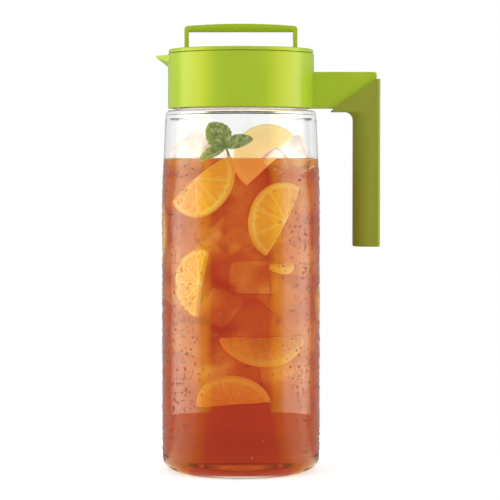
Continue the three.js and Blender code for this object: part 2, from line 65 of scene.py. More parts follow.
# %% Camera at the photographer's place
CAMERA_PLACE = Vector((6.1, -1411.0, 206.0)) * MM
CAMERA_TARGET = Vector((6.1, 0.0, 148.6)) * MM
LENS_MM = 150.5
SENSOR_MM = 36.0

camera_data = bpy.data.cameras.new("camera")
camera_data.lens = LENS_MM
camera_data.sensor_width = SENSOR_MM
camera = bpy.data.objects.new("camera", camera_data)
camera.location = CAMERA_PLACE
camera.rotation_euler = (CAMERA_TARGET - CAMERA_PLACE).to_track_quat("-Z", "Y").to_euler()
bpy.context.scene.collection.objects.link(camera)
bpy.context.scene.camera = camera
bpy.context.scene.view_settings.view_transform = "Standard"
LIGHT_BOUNCES = 28
bpy.context.scene.cycles.max_bounces = LIGHT_BOUNCES
bpy.context.scene.cycles.transmission_bounces = LIGHT_BOUNCES
print("camera:", round((CAMERA_TARGET - CAMERA_PLACE).length, 3), "m away")

# %% [markdown]
# ## Small helpers for meshes
#
# Nearly every hard piece here is either turned, like a pot, or cut from blocks. For a turned piece
# a few vertices give half of its outline, a vertex bevel rounds the corners of that wire, and a
# full spin sweeps it round. That keeps each size readable, where a lathe of ready-made points
# would hide them.

# %% Helpers: objects and sharp edges
SHARP_ANGLE = math.radians(32)
MERGE_DISTANCE = 1e-6


def read_mesh(mesh):
    bm = bmesh.new()
    bm.from_mesh(mesh)
    return bm


def smooth_faces(bm, sharp_angle):
    """Smooths every face, and keeps the edges sharp that turn by more than an angle."""
    for face in bm.faces:
        face.smooth = True
    for edge in bm.edges:
        if len(edge.link_faces) == 2:
            edge.smooth = edge.calc_face_angle(0.0) < sharp_angle


def finish_mesh(bm, name, sharp_angle=SHARP_ANGLE):
    """The mesh becomes an object at the origin, smooth apart from its sharp edges."""
    bmesh.ops.remove_doubles(bm, verts=bm.verts, dist=MERGE_DISTANCE)
    smooth_faces(bm, sharp_angle)
    mesh = bpy.data.meshes.new(name)
    bm.to_mesh(mesh)
    bm.free()
    obj = bpy.data.objects.new(name, mesh)
    bpy.context.scene.collection.objects.link(obj)
    return obj


print("edges over", round(math.degrees(SHARP_ANGLE)), "degrees stay sharp")

# %% Helpers: rounded corners and turned pieces
ROUND_STEPS = 160
SMALL_STEPS = 48


def bevel(bm, geom, offset, segments, affect="EDGES"):
    """Rounds edges, or the corners of a wire, by an offset in millimetres."""
    bmesh.ops.bevel(
        bm, geom=geom, offset=offset * MM, segments=segments, profile=0.5, affect=affect, material=-1,
    )


def turned(name, outline, steps=ROUND_STEPS, closed=False, segments=6):
    """Spins (radius, height, corner round) points in millimetres into a closed piece."""
    bm = bmesh.new()
    verts = [bm.verts.new((radius * MM, 0, height * MM)) for radius, height, _ in outline]
    for pair in zip(verts, verts[1:]):
        bm.edges.new(pair)
    if closed:
        bm.edges.new((verts[-1], verts[0]))
    for vert, (_, _, corner) in zip(verts, outline):
        if corner:
            bevel(bm, [vert], corner, segments, "VERTICES")
    bmesh.ops.spin(
        bm, geom=list(bm.verts) + list(bm.edges), cent=(0, 0, 0), axis=(0, 0, 1),
        angle=math.tau, steps=steps, use_merge=True,
    )
    bmesh.ops.remove_doubles(bm, verts=bm.verts, dist=MERGE_DISTANCE)
    bmesh.ops.recalc_face_normals(bm, faces=bm.faces)
    return finish_mesh(bm, name)


print("turned pieces have", ROUND_STEPS, "steps, and small ones", SMALL_STEPS)

# %% Helpers: blocks and booleans
def block(name, low, high, corner=0.0, segments=3, only=None):
    """A box between two corners in millimetres, with all or some of its edges rounded."""
    bm = bmesh.new()
    bmesh.ops.create_cube(bm, size=1.0)
    size = [(b - a) * MM for a, b in zip(low, high)]
    middle = [(a + b) / 2 * MM for a, b in zip(low, high)]
    bmesh.ops.scale(bm, vec=size, verts=bm.verts)
    bmesh.ops.translate(bm, vec=middle, verts=bm.verts)
    if corner:
        bevel(bm, [edge for edge in bm.edges if only is None or only(edge)], corner, segments)
    return finish_mesh(bm, name)


def is_upright(edge):
    return abs(edge.verts[0].co.z - edge.verts[1].co.z) > MERGE_DISTANCE


def combine(obj, tools, operation):
    """Joins other solids to a piece or cuts them out of it, and then removes them."""
    for tool in tools:
        modifier = obj.modifiers.new(operation, "BOOLEAN")
        modifier.operation = operation
        modifier.solver = "EXACT"
        modifier.object = tool
    graph = bpy.context.evaluated_depsgraph_get()
    mesh = bpy.data.meshes.new_from_object(obj.evaluated_get(graph))
    obj.modifiers.clear()
    old = obj.data
    obj.data = mesh
    bpy.data.meshes.remove(old)
    mesh.name = obj.name
    for tool in tools:
        bpy.data.objects.remove(tool)
    bm = read_mesh(mesh)
    bmesh.ops.remove_doubles(bm, verts=bm.verts, dist=MERGE_DISTANCE)
    bmesh.ops.dissolve_degenerate(bm, edges=bm.edges, dist=MERGE_DISTANCE)
    smooth_faces(bm, SHARP_ANGLE)
    bm.to_mesh(mesh)
    bm.free()


print("blocks and booleans ready")

# %% Helpers: finishes, normals and what the frame is told
def coat(obj, *materials):
    """Gives a piece its finishes, in place of any that the booleans left on it."""
    obj.data.materials.clear()
    for material in materials:
        obj.data.materials.append(material)


def even_normals(obj):
    """Lets big flat faces keep flat shading beside small rounded edges."""
    obj.modifiers.new("normals", "WEIGHTED_NORMAL").keep_sharp = True


def count_open_edges(mesh):
    """How many edges don't have two faces, which is none on a closed piece."""
    bm = read_mesh(mesh)
    count = sum(1 for edge in bm.edges if len(edge.link_faces) != 2)
    bm.free()
    return count


def place(obj, body, node=None, slot=None):
    """Tells the frame what a piece rides on and what it stands for. Its finish, the slot, is not used."""
    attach(obj, body)
    if node:
        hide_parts(node)
    print(f"{obj.name}: {len(obj.data.polygons)} faces, {count_open_edges(obj.data)} open edges")
    return obj


# %% [markdown]
# ## Helpers for materials
#
# Every finish is a Principled surface with patterns behind its sockets. The patterns read Object
# coordinates, in metres, so their scale is a real one, and each piece sits at the origin, so they
# stay on it as it moves. The helpers below take a value or another node's output for each input,
# so that a material reads as a recipe instead of a list of links. Moulded plastic and silicone
# share a fine grain, so that grain is one node group with its own inputs.

# %% Helpers: nodes
WHITE = (1.0, 1.0, 1.0, 1.0)


def new_material(name):
    material = bpy.data.materials.new(name)
    material.use_nodes = True
    return material, material.node_tree.nodes


def feed(made, *inputs, **values):
    """Sets a node's properties and its inputs, and links an input that is given an output."""
    for key, value in (*values.items(), *enumerate(inputs)):
        socket = key.replace("_", " ") if isinstance(key, str) else key
        if isinstance(socket, str) and socket not in made.inputs:
            setattr(made, key, value)
        elif isinstance(value, bpy.types.NodeSocket):
            made.id_data.links.new(value, made.inputs[socket])
        else:
            made.inputs[socket].default_value = value
    return made


def node(nodes, kind, *inputs, **values):
    """Adds a node. Its inputs are given in order, or by name with _ for a space."""
    return feed(nodes.new("ShaderNode" + kind), *inputs, **values)


def object_coords(nodes):
    return node(nodes, "TexCoord").outputs["Object"]


print("materials, nodes and links ready")

# %% Helpers: patterns, maths and mixes
def noise(nodes, where, **values):
    return node(nodes, "TexNoise", Vector=where, **values).outputs["Fac"]


def maths(nodes, operation, *inputs):
    return node(nodes, "Math", *inputs, operation=operation).outputs["Value"]


def length_of(nodes, vector):
    return node(nodes, "VectorMath", vector, operation="LENGTH").outputs["Value"]


def mapped(nodes, value, source, target, interpolation="LINEAR"):
    """A value taken from one range to another."""
    return node(
        nodes, "MapRange", interpolation_type=interpolation, Value=value,
        From_Min=source[0], From_Max=source[1], To_Min=target[0], To_Max=target[1],
    ).outputs["Result"]


def ramp(nodes, value, stops, interpolation="LINEAR"):
    """A colour by value, from (place, colour) stops."""
    made = node(nodes, "ValToRGB", Fac=value)
    made.color_ramp.interpolation = interpolation
    elements = made.color_ramp.elements
    while len(elements) > 1:
        elements.remove(elements[-1])
    for i, (position, colour) in enumerate(stops):
        element = elements[0] if i == 0 else elements.new(position)
        element.position = position
        element.color = (*colour, 1.0)
    return made.outputs["Color"]


def blended(nodes, blend_type, share, first, second):
    """Two colours mixed in one of Blender's ways."""
    return node(
        nodes, "Mix", data_type="RGBA", blend_type=blend_type, Factor=share, A=first, B=second,
    ).outputs["Result"]


def either(nodes, share, first, second):
    """The first surface where the share is 0, and the second where it is 1."""
    return node(nodes, "MixShader", share, first, second).outputs["Shader"]


def glow_of(nodes, colour, level):
    return node(nodes, "Emission", Color=colour, Strength=level).outputs["Emission"]


print("patterns, maths and mixes ready")

# %% Helpers: node groups
def new_group(name, inputs, outputs):
    """An empty node group with named inputs and outputs, each with its kind."""
    group = bpy.data.node_groups.new(name, "ShaderNodeTree")
    for in_out, sockets in (("INPUT", inputs), ("OUTPUT", outputs)):
        for socket, kind in sockets.items():
            group.interface.new_socket(socket, in_out=in_out, socket_type="NodeSocket" + kind)
    return group, group.nodes, group.nodes.new("NodeGroupInput").outputs


def grouped(nodes, group, **values):
    """Places a node group in a material, with its own values."""
    made = nodes.new("ShaderNodeGroup")
    made.node_tree = group
    return feed(made, **values).outputs


def grain_group():
    """Cloudy mottling and a fine grain, as a mask and a height."""
    group, nodes, given = new_group(
        "moulded_grain", {"Cloud Scale": "Float", "Grain Scale": "Float"},
        {"Mask": "Float", "Height": "Float"},
    )
    coords = object_coords(nodes)
    cloud = noise(nodes, coords, Scale=given["Cloud Scale"], Detail=3.0, Roughness=0.55)
    grain = noise(nodes, coords, Scale=given["Grain Scale"], Detail=4.0, Roughness=0.65)
    mask = maths(nodes, "MULTIPLY_ADD", grain, 0.25, cloud)
    feed(nodes.new("NodeGroupOutput"), Mask=mask, Height=grain)
    return group


GRAIN = grain_group()
print("node group: moulded grain")

# %% [markdown]
# ## The stage
#
# The object stands on a small white table in front of a white backdrop. The background is the
# world's colour, white for the rays that come from the camera, straight or through clear
# plastic. The world lights the object itself at a plain level, and reflections see a dimmer
# room. A bent ray counts as glossy too, so the mix for reflections comes before the one for
# what is seen through things. A painted backdrop would do the same, but would have to be lit
# without lighting the object. In reflections the table shows painted light on its sides, where the
# side lamps fall, in the same bright panels as the screen that comes with the lights, so their
# glow is made first.

# %% World
AMBIENT_LEVEL = 0.74
AMBIENT_COLOUR = (1.0, 0.99, 0.975, 1.0)
ROOM_LEVEL = 0.36


def make_world():
    world = bpy.data.worlds.new("studio")
    bpy.context.scene.world = world
    world.use_nodes = True
    nodes = world.node_tree.nodes
    fill = feed(nodes["Background"], Color=AMBIENT_COLOUR, Strength=AMBIENT_LEVEL)
    backdrop = node(nodes, "Background", Color=WHITE, Strength=1.0)
    room = node(nodes, "Background", Color=WHITE, Strength=ROOM_LEVEL)
    rays = node(nodes, "LightPath").outputs
    seen = maths(nodes, "MAXIMUM", rays["Is Camera Ray"], rays["Is Transmission Ray"])
    direct = maths(nodes, "LESS_THAN", rays["Diffuse Depth"], 0.5)
    reflected = either(
        nodes, rays["Is Glossy Ray"], fill.outputs["Background"], room.outputs["Background"],
    )
    seen_direct = maths(nodes, "MULTIPLY", seen, direct)
    shown = either(nodes, seen_direct, reflected, backdrop.outputs["Background"])
    feed(nodes["World Output"], Surface=shown)


make_world()
print("world: ambient", AMBIENT_LEVEL)

# %% Where the side panels are seen
PANEL_LEVEL = 5.0
PANEL_RIM = (0.6, 0.55, 0.08)
PANEL_INNER = (1.0, 0.93, 0.55)
PANEL_OUTER = (0.86, 0.94, 0.72)
PANEL_SPAN = (36, 54, 70, 98, 130)
BLACK = (0.0, 0.0, 0.0)


def panel_group():
    """The colour of the side panels by the angle from the camera's side, warm to cool."""
    group, nodes, given = new_group("side_panels", {"Narrowing": "Float"}, {"Colour": "Color"})
    start, rim, full, still_full, end = (degrees / 180 for degrees in PANEL_SPAN)
    split = node(nodes, "SeparateXYZ", object_coords(nodes)).outputs
    sideways = maths(nodes, "ABSOLUTE", split["X"])
    front = maths(nodes, "MULTIPLY", split["Y"], -1.0)
    angle = maths(nodes, "DIVIDE", maths(nodes, "ARCTAN2", sideways, front), math.pi)
    past_start = maths(nodes, "SUBTRACT", angle, start)
    narrowed = maths(nodes, "MULTIPLY_ADD", past_start, given["Narrowing"], start)
    colour = ramp(nodes, narrowed, [
        (start, BLACK), (rim, PANEL_RIM), (full, PANEL_INNER), (still_full, PANEL_OUTER), (end, BLACK),
    ], "EASE")
    feed(nodes.new("NodeGroupOutput"), Colour=colour)
    return group


SIDE_PANELS = panel_group()


def panel_glow(nodes, level, heights, narrowings):
    """Emission from the dim room to the level of a panel, whose width may change with height."""
    height = node(nodes, "SeparateXYZ", object_coords(nodes)).outputs["Z"]
    narrowing = mapped(nodes, height, [h * MM for h in heights], narrowings, "SMOOTHSTEP")
    panels = grouped(nodes, SIDE_PANELS, Narrowing=narrowing)
    dim = ROOM_LEVEL / level
    colour = blended(nodes, "LIGHTEN", 1.0, (dim, dim, dim, 1.0), panels["Colour"])
    return glow_of(nodes, colour, level)


print("side panels from", PANEL_SPAN[0], "to", PANEL_SPAN[-1], "degrees")

# %% Table
TABLE_RADIUS = 285.0
TABLE_THICKNESS = 12.0
TABLE_DROP = 0.05
TABLE_ROUND = 3.0
TABLE_FADE = (0.09, 0.24)
TABLE_LIFT = 0.42
TABLE_THROUGH = 0.9
TABLE_PAINTED_SIDE_LIGHT = 1.6
TABLE_NARROWING = 1.15


def table_material():
    """White paint near the object, the backdrop's white further out, and painted side light in reflections.
    """
    material, nodes = new_material("table_white")
    coords = object_coords(nodes)
    mottle = noise(nodes, coords, Scale=6.0, Detail=3.0)
    tint = ramp(nodes, mottle, [(0.3, (0.86, 0.86, 0.86)), (0.7, (0.88, 0.88, 0.88))])
    surface = feed(nodes["Principled BSDF"], Base_Color=tint, Roughness=0.6, Specular_IOR_Level=0.2)
    paint = surface.outputs["BSDF"]
    fade = mapped(nodes, length_of(nodes, coords), TABLE_FADE, (0.0, 1.0), "SMOOTHSTEP")
    white, lift, through = (glow_of(nodes, WHITE, level) for level in (1.0, TABLE_LIFT, TABLE_THROUGH))
    # Reflections see painted light on the table's sides, where the side lamps fall.
    gloss = panel_glow(nodes, TABLE_PAINTED_SIDE_LIGHT, (-TABLE_THICKNESS, 0), (TABLE_NARROWING, TABLE_NARROWING))
    rays = node(nodes, "LightPath").outputs
    lifted = node(nodes, "AddShader", paint, lift).outputs["Shader"]
    near = either(nodes, fade, lifted, white)
    reflected = either(nodes, rays["Is Glossy Ray"], paint, gloss)
    bent = either(nodes, rays["Is Transmission Ray"], reflected, through)
    feed(nodes["Material Output"], Surface=either(nodes, rays["Is Camera Ray"], bent, near))
    return material


table = turned("table", [
    (0, -TABLE_THICKNESS, 0),
    (TABLE_RADIUS, -TABLE_THICKNESS, TABLE_ROUND),
    (TABLE_RADIUS, -TABLE_DROP, TABLE_ROUND),
    (0, -TABLE_DROP, 0),
], steps=96)
coat(table, table_material())
print("table:", 2 * TABLE_RADIUS, "mm across")

# %% [markdown]
# ## The lights
#
# Two tall soft lights stand at the sides, a little stronger at the left. Their reflections make the
# pale bands down the clear body and the bright lines on the collar, and reflections need a
# far brighter panel than matt surfaces do. So the lamps light the surfaces alone, and a round
# screen, which only reflections see, holds the two panels as bright stretches with soft ends. A
# bright ceiling, seen by reflections alone too, stands for the white room above.

# %% Side lamps
LAMP_ANGLE = math.radians(84)
LAMP_DISTANCE = 1.2
LAMP_SIZE = (1.0, 1.6)
LAMP_MIDDLE = 0.3
LEFT_POWER = 7.8
RIGHT_POWER = 6.5


def side_lamp(name, angle, power):
    data = bpy.data.lights.new(name, "AREA")
    data.shape = "RECTANGLE"
    data.size, data.size_y = LAMP_SIZE
    data.energy = power
    lamp = bpy.data.objects.new(name, data)
    away = Vector((math.sin(angle), -math.cos(angle), 0))
    lamp.location = away * LAMP_DISTANCE + Vector((0, 0, LAMP_MIDDLE))
    lamp.rotation_euler = (-away).to_track_quat("-Z", "Y").to_euler()
    bpy.context.scene.collection.objects.link(lamp)
    lamp.visible_camera = False
    lamp.visible_transmission = False
    lamp.visible_glossy = False


side_lamp("lamp_left", -LAMP_ANGLE, LEFT_POWER)
side_lamp("lamp_right", LAMP_ANGLE, RIGHT_POWER)
print("lamps:", LEFT_POWER, "and", RIGHT_POWER, "watts")

# %% The screen and the ceiling that reflections see
SCREEN_RADIUS = 1200.0
SCREEN_LOW = -400.0
SCREEN_HIGH = 1700.0
SHEET_THICKNESS = 10.0
NARROWING_HEIGHTS = (120.0, 270.0)
UPPER_NARROWING = 1.12
CEILING_RADIUS = 900.0
CEILING_HEIGHT = 1800.0
CEILING_LEVEL = 4.0
STAGE_STEPS = 72


def light_reflections(obj, make_glow):
    """A glowing stage piece that only reflections see."""
    material, nodes = new_material(obj.name)
    feed(nodes["Material Output"], Surface=make_glow(nodes))
    coat(obj, material)
    obj.visible_camera = False
    obj.visible_diffuse = False
    obj.visible_transmission = False
    obj.visible_volume_scatter = False
    obj.visible_shadow = False


screen = turned("screen", [
    (SCREEN_RADIUS, SCREEN_LOW, 0), (SCREEN_RADIUS + SHEET_THICKNESS, SCREEN_LOW, 0),
    (SCREEN_RADIUS + SHEET_THICKNESS, SCREEN_HIGH, 0), (SCREEN_RADIUS, SCREEN_HIGH, 0),
], STAGE_STEPS, closed=True)
ceiling = turned("ceiling", [
    (0, CEILING_HEIGHT, 0), (CEILING_RADIUS, CEILING_HEIGHT, 0),
    (CEILING_RADIUS, CEILING_HEIGHT + SHEET_THICKNESS, 0), (0, CEILING_HEIGHT + SHEET_THICKNESS, 0),
], STAGE_STEPS)
light_reflections(
    screen, lambda nodes: panel_glow(nodes, PANEL_LEVEL, NARROWING_HEIGHTS, (1.0, UPPER_NARROWING)),
)
light_reflections(ceiling, lambda nodes: glow_of(nodes, WHITE, CEILING_LEVEL))
print("screen and ceiling ready")

# %% [markdown]
# ## The clear body
#
# The body is one moulding of clear plastic: a flat base with a stacking groove, an upright wall
# that draws in gently to the shoulder, and a short neck under the collar. It is turned from one
# closed outline, inside and out, because glass and clear plastic need a true wall to bend
# the light.

# %% Sizes of the body
body_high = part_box("pitcher_body")[1]
BODY_RADIUS = body_high.y / MM
WALL = 2.6
BASE_THICKNESS = 3.2
BASE_ROUND = 9.5
STRAIGHT_HEIGHT = 179.0
TAPER_EASE = 13.0
SHOULDER_HEIGHT = 242.5
SHOULDER_NARROWING = 2.4
SHOULDER_ROUND = 3.0
NECK_RADIUS = 44.0
NECK_BORE = 41.4
NECK_TOP = body_high.z / MM
TAPER_STEPS = 14
print("body radius", round(BODY_RADIUS, 2), "neck top", round(NECK_TOP, 2))


def taper(inset, top):
    """Points of the easing curve from the upright wall to the shoulder."""
    points = []
    for i in range(TAPER_STEPS + 1):
        t = i / TAPER_STEPS
        height = STRAIGHT_HEIGHT + 2 * t * (1 - t) * TAPER_EASE + t * t * (top - STRAIGHT_HEIGHT)
        points.append((BODY_RADIUS - inset - SHOULDER_NARROWING * t * t, height, 0))
    return points


def radius_at(points, height):
    """The wall's radius at a height: between two points of a taper, or upright below them."""
    for (r0, h0, _), (r1, h1, _) in zip(points, points[1:]):
        if h0 <= height <= h1:
            return r0 + (r1 - r0) * (height - h0) / (h1 - h0)
    return points[0][0]


# %% Turn the body
GROOVE_INNER = (14.0, 15.6)
GROOVE_OUTER = (35.4, 37.0)
GROOVE_DEPTH = 0.9

outer_taper = taper(0, SHOULDER_HEIGHT)
inner_taper = taper(WALL, SHOULDER_HEIGHT - WALL)
body_shell = turned("clear_body", [
    (0, 0, 0),
    (GROOVE_INNER[0], 0, 0.5),
    (GROOVE_INNER[1], GROOVE_DEPTH, 0.5),
    (GROOVE_OUTER[0], GROOVE_DEPTH, 0.5),
    (GROOVE_OUTER[1], 0, 0.5),
    (BODY_RADIUS, 0, BASE_ROUND),
    *outer_taper[:-1],
    (*outer_taper[-1][:2], SHOULDER_ROUND),
    (NECK_RADIUS, SHOULDER_HEIGHT, 1.0),
    (NECK_RADIUS, NECK_TOP, 0.7),
    (NECK_BORE, NECK_TOP, 0.7),
    (NECK_BORE, SHOULDER_HEIGHT - WALL, 0.8),
    (*inner_taper[-1][:2], SHOULDER_ROUND),
    *reversed(inner_taper[:-1]),
    (BODY_RADIUS - WALL, BASE_THICKNESS, BASE_ROUND - WALL),
    (0, BASE_THICKNESS, 0),
], segments=8)
place(body_shell, "pitcher", "pitcher_body", "clear_plastic")

# %% [markdown]
# ## Clear plastic
#
# Clear plastic is Principled with full transmission. Its edges look grey, because light at a
# glancing angle crosses far more material, so Layer Weight darkens the colour there: partly for
# that longer path, and partly as painted edge shade. Where drink touches the wall there is no air
# between them, so that side bends light only by the ratio of the two and hardly mirrors it. The
# underside takes the same finish, as if wet with dew, and the inner faces under the shoulder bend
# light hardly at all, because both would otherwise draw dark arcs. Lamps would cast glassy
# shadows that take many samples to clear, so for shadow rays the surface is plainly transparent.

# %% Clear plastic, dry and wet
PLASTIC_IOR = 1.49
TEA_IOR = 1.333
TEA_LEVEL = 210.4
MENISCUS = 1.2
MENISCUS_WIDTH = 2.6
DEW_HEIGHT = 3.8
DEW_FRONT = -28.0
DEW_SLOPE = -0.95
SHOULDER_WET = 236.0
SHOULDER_IOR = 1.03


def let_lamps_through(nodes):
    """Makes a surface transparent for shadow rays, so that lamps reach what is behind."""
    clear = node(nodes, "BsdfTransparent", Color=WHITE).outputs["BSDF"]
    shadow = node(nodes, "LightPath").outputs["Is Shadow Ray"]
    shown = either(nodes, shadow, nodes["Principled BSDF"].outputs["BSDF"], clear)
    feed(nodes["Material Output"], Surface=shown)


def clear_plastic_material(name, ior, edge_absorption_and_shade):
    material, nodes = new_material(name)
    haze = noise(nodes, object_coords(nodes), Scale=22.0, Detail=4.0)
    # Layer Weight greys the edges: partly the longer path through the plastic, partly painted edge shade.
    edge = node(nodes, "LayerWeight", Blend=0.5).outputs["Facing"]
    tint = ramp(nodes, edge, [
        (0.0, (0.975, 0.978, 0.978)),
        (0.72, (0.97, 0.973, 0.975)),
        (0.9, tuple(edge_absorption_and_shade * level for level in (0.99, 0.99, 1.0))),
        (1.0, tuple(edge_absorption_and_shade ** 2 * level for level in (0.97, 0.97, 1.0))),
    ])
    feed(
        nodes["Principled BSDF"], Base_Color=tint, IOR=ior, Transmission_Weight=1.0,
        Roughness=mapped(nodes, haze, (0.0, 1.0), (0.0, 0.03)),
    )
    let_lamps_through(nodes)
    return material


def wetness(face):
    """0 for a dry face, 1 for one that meets the drink or the dew below, 2 under the shoulder."""
    middle = face.center
    cavity = Vector((0, 0, TEA_LEVEL / 2 * MM))
    inner = face.normal.dot(middle - cavity) < 0
    dewy = middle.z < DEW_HEIGHT * MM and (middle.y > DEW_FRONT * MM or face.normal.z < DEW_SLOPE)
    if dewy or (inner and middle.z < (TEA_LEVEL + MENISCUS) * MM):
        return 1
    if inner and SHOULDER_WET < middle.z / MM < SHOULDER_HEIGHT - WALL + 0.5:
        return 2
    return 0


coat(
    body_shell,
    clear_plastic_material("clear_plastic", PLASTIC_IOR, 0.9),
    clear_plastic_material("clear_plastic_wet", PLASTIC_IOR / TEA_IOR, 0.99),
    clear_plastic_material("clear_plastic_shoulder", SHOULDER_IOR, 0.99),
)
for face in body_shell.data.polygons:
    face.material_index = wetness(face)
print("clear plastic, dry, wet and under the shoulder")

# %% [markdown]
# ## Green plastic, silicone and seals
#
# The collar, the lid and the bail are the same satin green plastic. It takes a cloudy mottling of
# two close greens and a fine moulded grain that breaks up the gloss. The grip is a darker, duller
# silicone, and the seals are milky.

# %% Moulded finishes
MOULDED_IOR = 1.5


def moulded_material(name, dark, light, roughness, scales, bump, shine):
    """A mottled, finely grained finish. The scales are those of its clouds and of its grain."""
    material, nodes = new_material(name)
    grain = grouped(nodes, GRAIN, Cloud_Scale=scales[0], Grain_Scale=scales[1])
    rough = mapped(nodes, grain["Mask"], (0.3, 0.9), (roughness - 0.04, roughness + 0.05))
    relief = node(nodes, "Bump", Strength=bump, Distance=0.00008, Height=grain["Height"])
    feed(
        nodes["Principled BSDF"], IOR=MOULDED_IOR, Specular_Tint=(*shine, 1.0), Roughness=rough,
        Base_Color=ramp(nodes, grain["Mask"], [(0.38, dark), (0.82, light)]),
        Normal=relief.outputs["Normal"],
    )
    return material


LIME = moulded_material(
    "lime_plastic", (0.415, 0.58, 0.034), (0.45, 0.62, 0.042), 0.15, (35.0, 2600.0), 0.2,
    (0.85, 0.5, 0.25),
)
OLIVE = moulded_material(
    "olive_silicone", (0.26, 0.285, 0.017), (0.285, 0.315, 0.021), 0.55, (40.0, 3200.0), 0.35,
    (0.9, 0.9, 0.6),
)
SEAL = moulded_material(
    "seal_silicone", (0.74, 0.75, 0.70), (0.8, 0.81, 0.76), 0.5, (60.0, 2400.0), 0.2,
    (1.0, 1.0, 1.0),
)
print("moulded finishes: lime plastic, olive silicone, seal silicone")

# %% [markdown]
# ## The collar
#
# The collar, the spout and the arm of the handle are one moulding. The ring is turned, the arm is a
# block with eased edges, and the beak is the hull of a wide section at the wall and a narrow one at
# its tip. Booleans join them and cut the trough and the spout's window, as the mould does.

# %% Turn the collar's ring
COLLAR_RADIUS = 49.1
COLLAR_BORE = 46.1
COLLAR_BOTTOM = 244.0
COLLAR_TOP = 280.5
WEB_BOTTOM = 264.2
WEB_TOP = 266.6

collar = turned("green_collar", [
    (COLLAR_BORE, COLLAR_BOTTOM, 0.3),
    (COLLAR_RADIUS, COLLAR_BOTTOM, 0.6),
    (COLLAR_RADIUS, COLLAR_TOP, 0.5),
    (COLLAR_BORE, COLLAR_TOP, 0.3),
    (COLLAR_BORE, WEB_TOP, 0),
    (NECK_BORE, WEB_TOP, 0),
    (NECK_BORE, WEB_BOTTOM, 0),
    (COLLAR_BORE, WEB_BOTTOM, 0),
], closed=True, segments=4)
print("collar ring:", len(collar.data.polygons), "faces")

# %% The beak and its trough
SPOUT_ROOT = 47.6
SPOUT_TIP = 57.0
SPOUT_TOP = 279.5
SPOUT_HEIGHT = 8.9
SPOUT_HALF_WIDTH = 12.5
SPOUT_SIDE_HEIGHT = 5.0
SPOUT_TIP_HEIGHT = 1.3
SPOUT_TIP_HALF_WIDTH = 0.9
SPOUT_WALL = 1.5
WINDOW_TOP = 277.3


def spout_section(x, inset, top):
    """Five corners of the beak's section at a distance from the axis, set in by a wall."""
    run = SPOUT_TIP - SPOUT_ROOT
    out = x - SPOUT_ROOT
    flare = (SPOUT_HALF_WIDTH - SPOUT_TIP_HALF_WIDTH) / run
    slope = (SPOUT_HEIGHT - SPOUT_TIP_HEIGHT) / run
    side_slope = (SPOUT_SIDE_HEIGHT - SPOUT_TIP_HEIGHT) / run
    half = max(SPOUT_HALF_WIDTH - out * flare - inset * math.hypot(1, flare), 0.3)
    keel = SPOUT_TOP - SPOUT_HEIGHT + out * slope + inset * math.hypot(1, slope)
    side = SPOUT_TOP - SPOUT_SIDE_HEIGHT + out * side_slope + inset / 2
    side = max(min(side, top - 0.3), keel)
    return [(-x, 0, keel), (-x, half, side), (-x, half, top), (-x, -half, top), (-x, -half, side)]


def hull(name, points):
    bm = bmesh.new()
    verts = [bm.verts.new([c * MM for c in point]) for point in points]
    made = bmesh.ops.convex_hull(bm, input=verts)
    spare = [v for v in made["geom_interior"] if isinstance(v, bmesh.types.BMVert)]
    bmesh.ops.delete(bm, geom=spare, context="VERTS")
    bmesh.ops.recalc_face_normals(bm, faces=bm.faces)
    return finish_mesh(bm, name)


beak = hull("beak", spout_section(SPOUT_ROOT, 0, SPOUT_TOP) + spout_section(SPOUT_TIP, 0, SPOUT_TOP))
trough = hull("trough", (
    spout_section(COLLAR_RADIUS, SPOUT_WALL, SPOUT_TOP + 1)
    + spout_section(SPOUT_TIP - SPOUT_WALL, SPOUT_WALL, SPOUT_TOP + 1)
))
window = hull("window", [
    (x, y, z)
    for x in (1 - COLLAR_BORE, -COLLAR_RADIUS - 0.3)
    for _, y, z in spout_section(COLLAR_RADIUS, SPOUT_WALL, WINDOW_TOP)
])
print("beak from", -SPOUT_ROOT, "to", -SPOUT_TIP)

# %% The arm, and the joined moulding
ARM_END = 91.0
ARM_TOP = 268.3
ARM_HALF_DEPTH = 9.7
ARM_CORNER_ROUND = 1.8
ARM_EDGE_ROUND = 0.7


def at_arm_corner(edge):
    return all(
        abs(v.co.x - ARM_END * MM) < MERGE_DISTANCE and abs(v.co.z - ARM_TOP * MM) < MERGE_DISTANCE
        for v in edge.verts
    )


def make_arm():
    """A block whose far upper corner is rounded first, and then all of its long edges eased."""
    arm = block(
        "arm", (SPOUT_ROOT, -ARM_HALF_DEPTH, COLLAR_BOTTOM), (ARM_END, ARM_HALF_DEPTH, ARM_TOP),
        ARM_CORNER_ROUND, 5, only=at_arm_corner,
    )
    bm = read_mesh(arm.data)
    long_edges = [
        edge for edge in bm.edges
        if edge.calc_face_angle(0.0) > math.radians(60)
        and not all(abs(v.co.x - SPOUT_ROOT * MM) < MERGE_DISTANCE for v in edge.verts)
    ]
    bevel(bm, long_edges, ARM_EDGE_ROUND, 3)
    bm.to_mesh(arm.data)
    bm.free()
    return arm


combine(collar, [make_arm(), beak], "UNION")
combine(collar, [trough, window], "DIFFERENCE")
coat(collar, LIME)
even_normals(collar)
place(collar, "pitcher", "collar", "lime_plastic")

# %% [markdown]
# ## The grip
#
# The grip is a silicone sleeve over the end of the arm. It is flat in front and behind, rounded
# towards the fingers, and its upper end is cut at a slant, so the two greens meet in a mitre. The
# construction model holds that form already, so a copy of it is merged and its edges are smoothed,
# which is quicker and truer than modelling it twice. Reflections leave the grip out, because the dew
# on the wall breaks up its mirror image in the picture.

# %% A smoothed copy of a construction piece
LOOSE_MERGE_DISTANCE = 1e-5


def smooth_copy(name, node_name, angle=SHARP_ANGLE):
    bm = read_mesh(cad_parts[node_name].data)
    bmesh.ops.remove_doubles(bm, verts=bm.verts, dist=LOOSE_MERGE_DISTANCE)
    bmesh.ops.dissolve_limit(
        bm, angle_limit=math.radians(0.5), verts=bm.verts, edges=bm.edges, delimit=set(),
    )
    return finish_mesh(bm, name, angle)


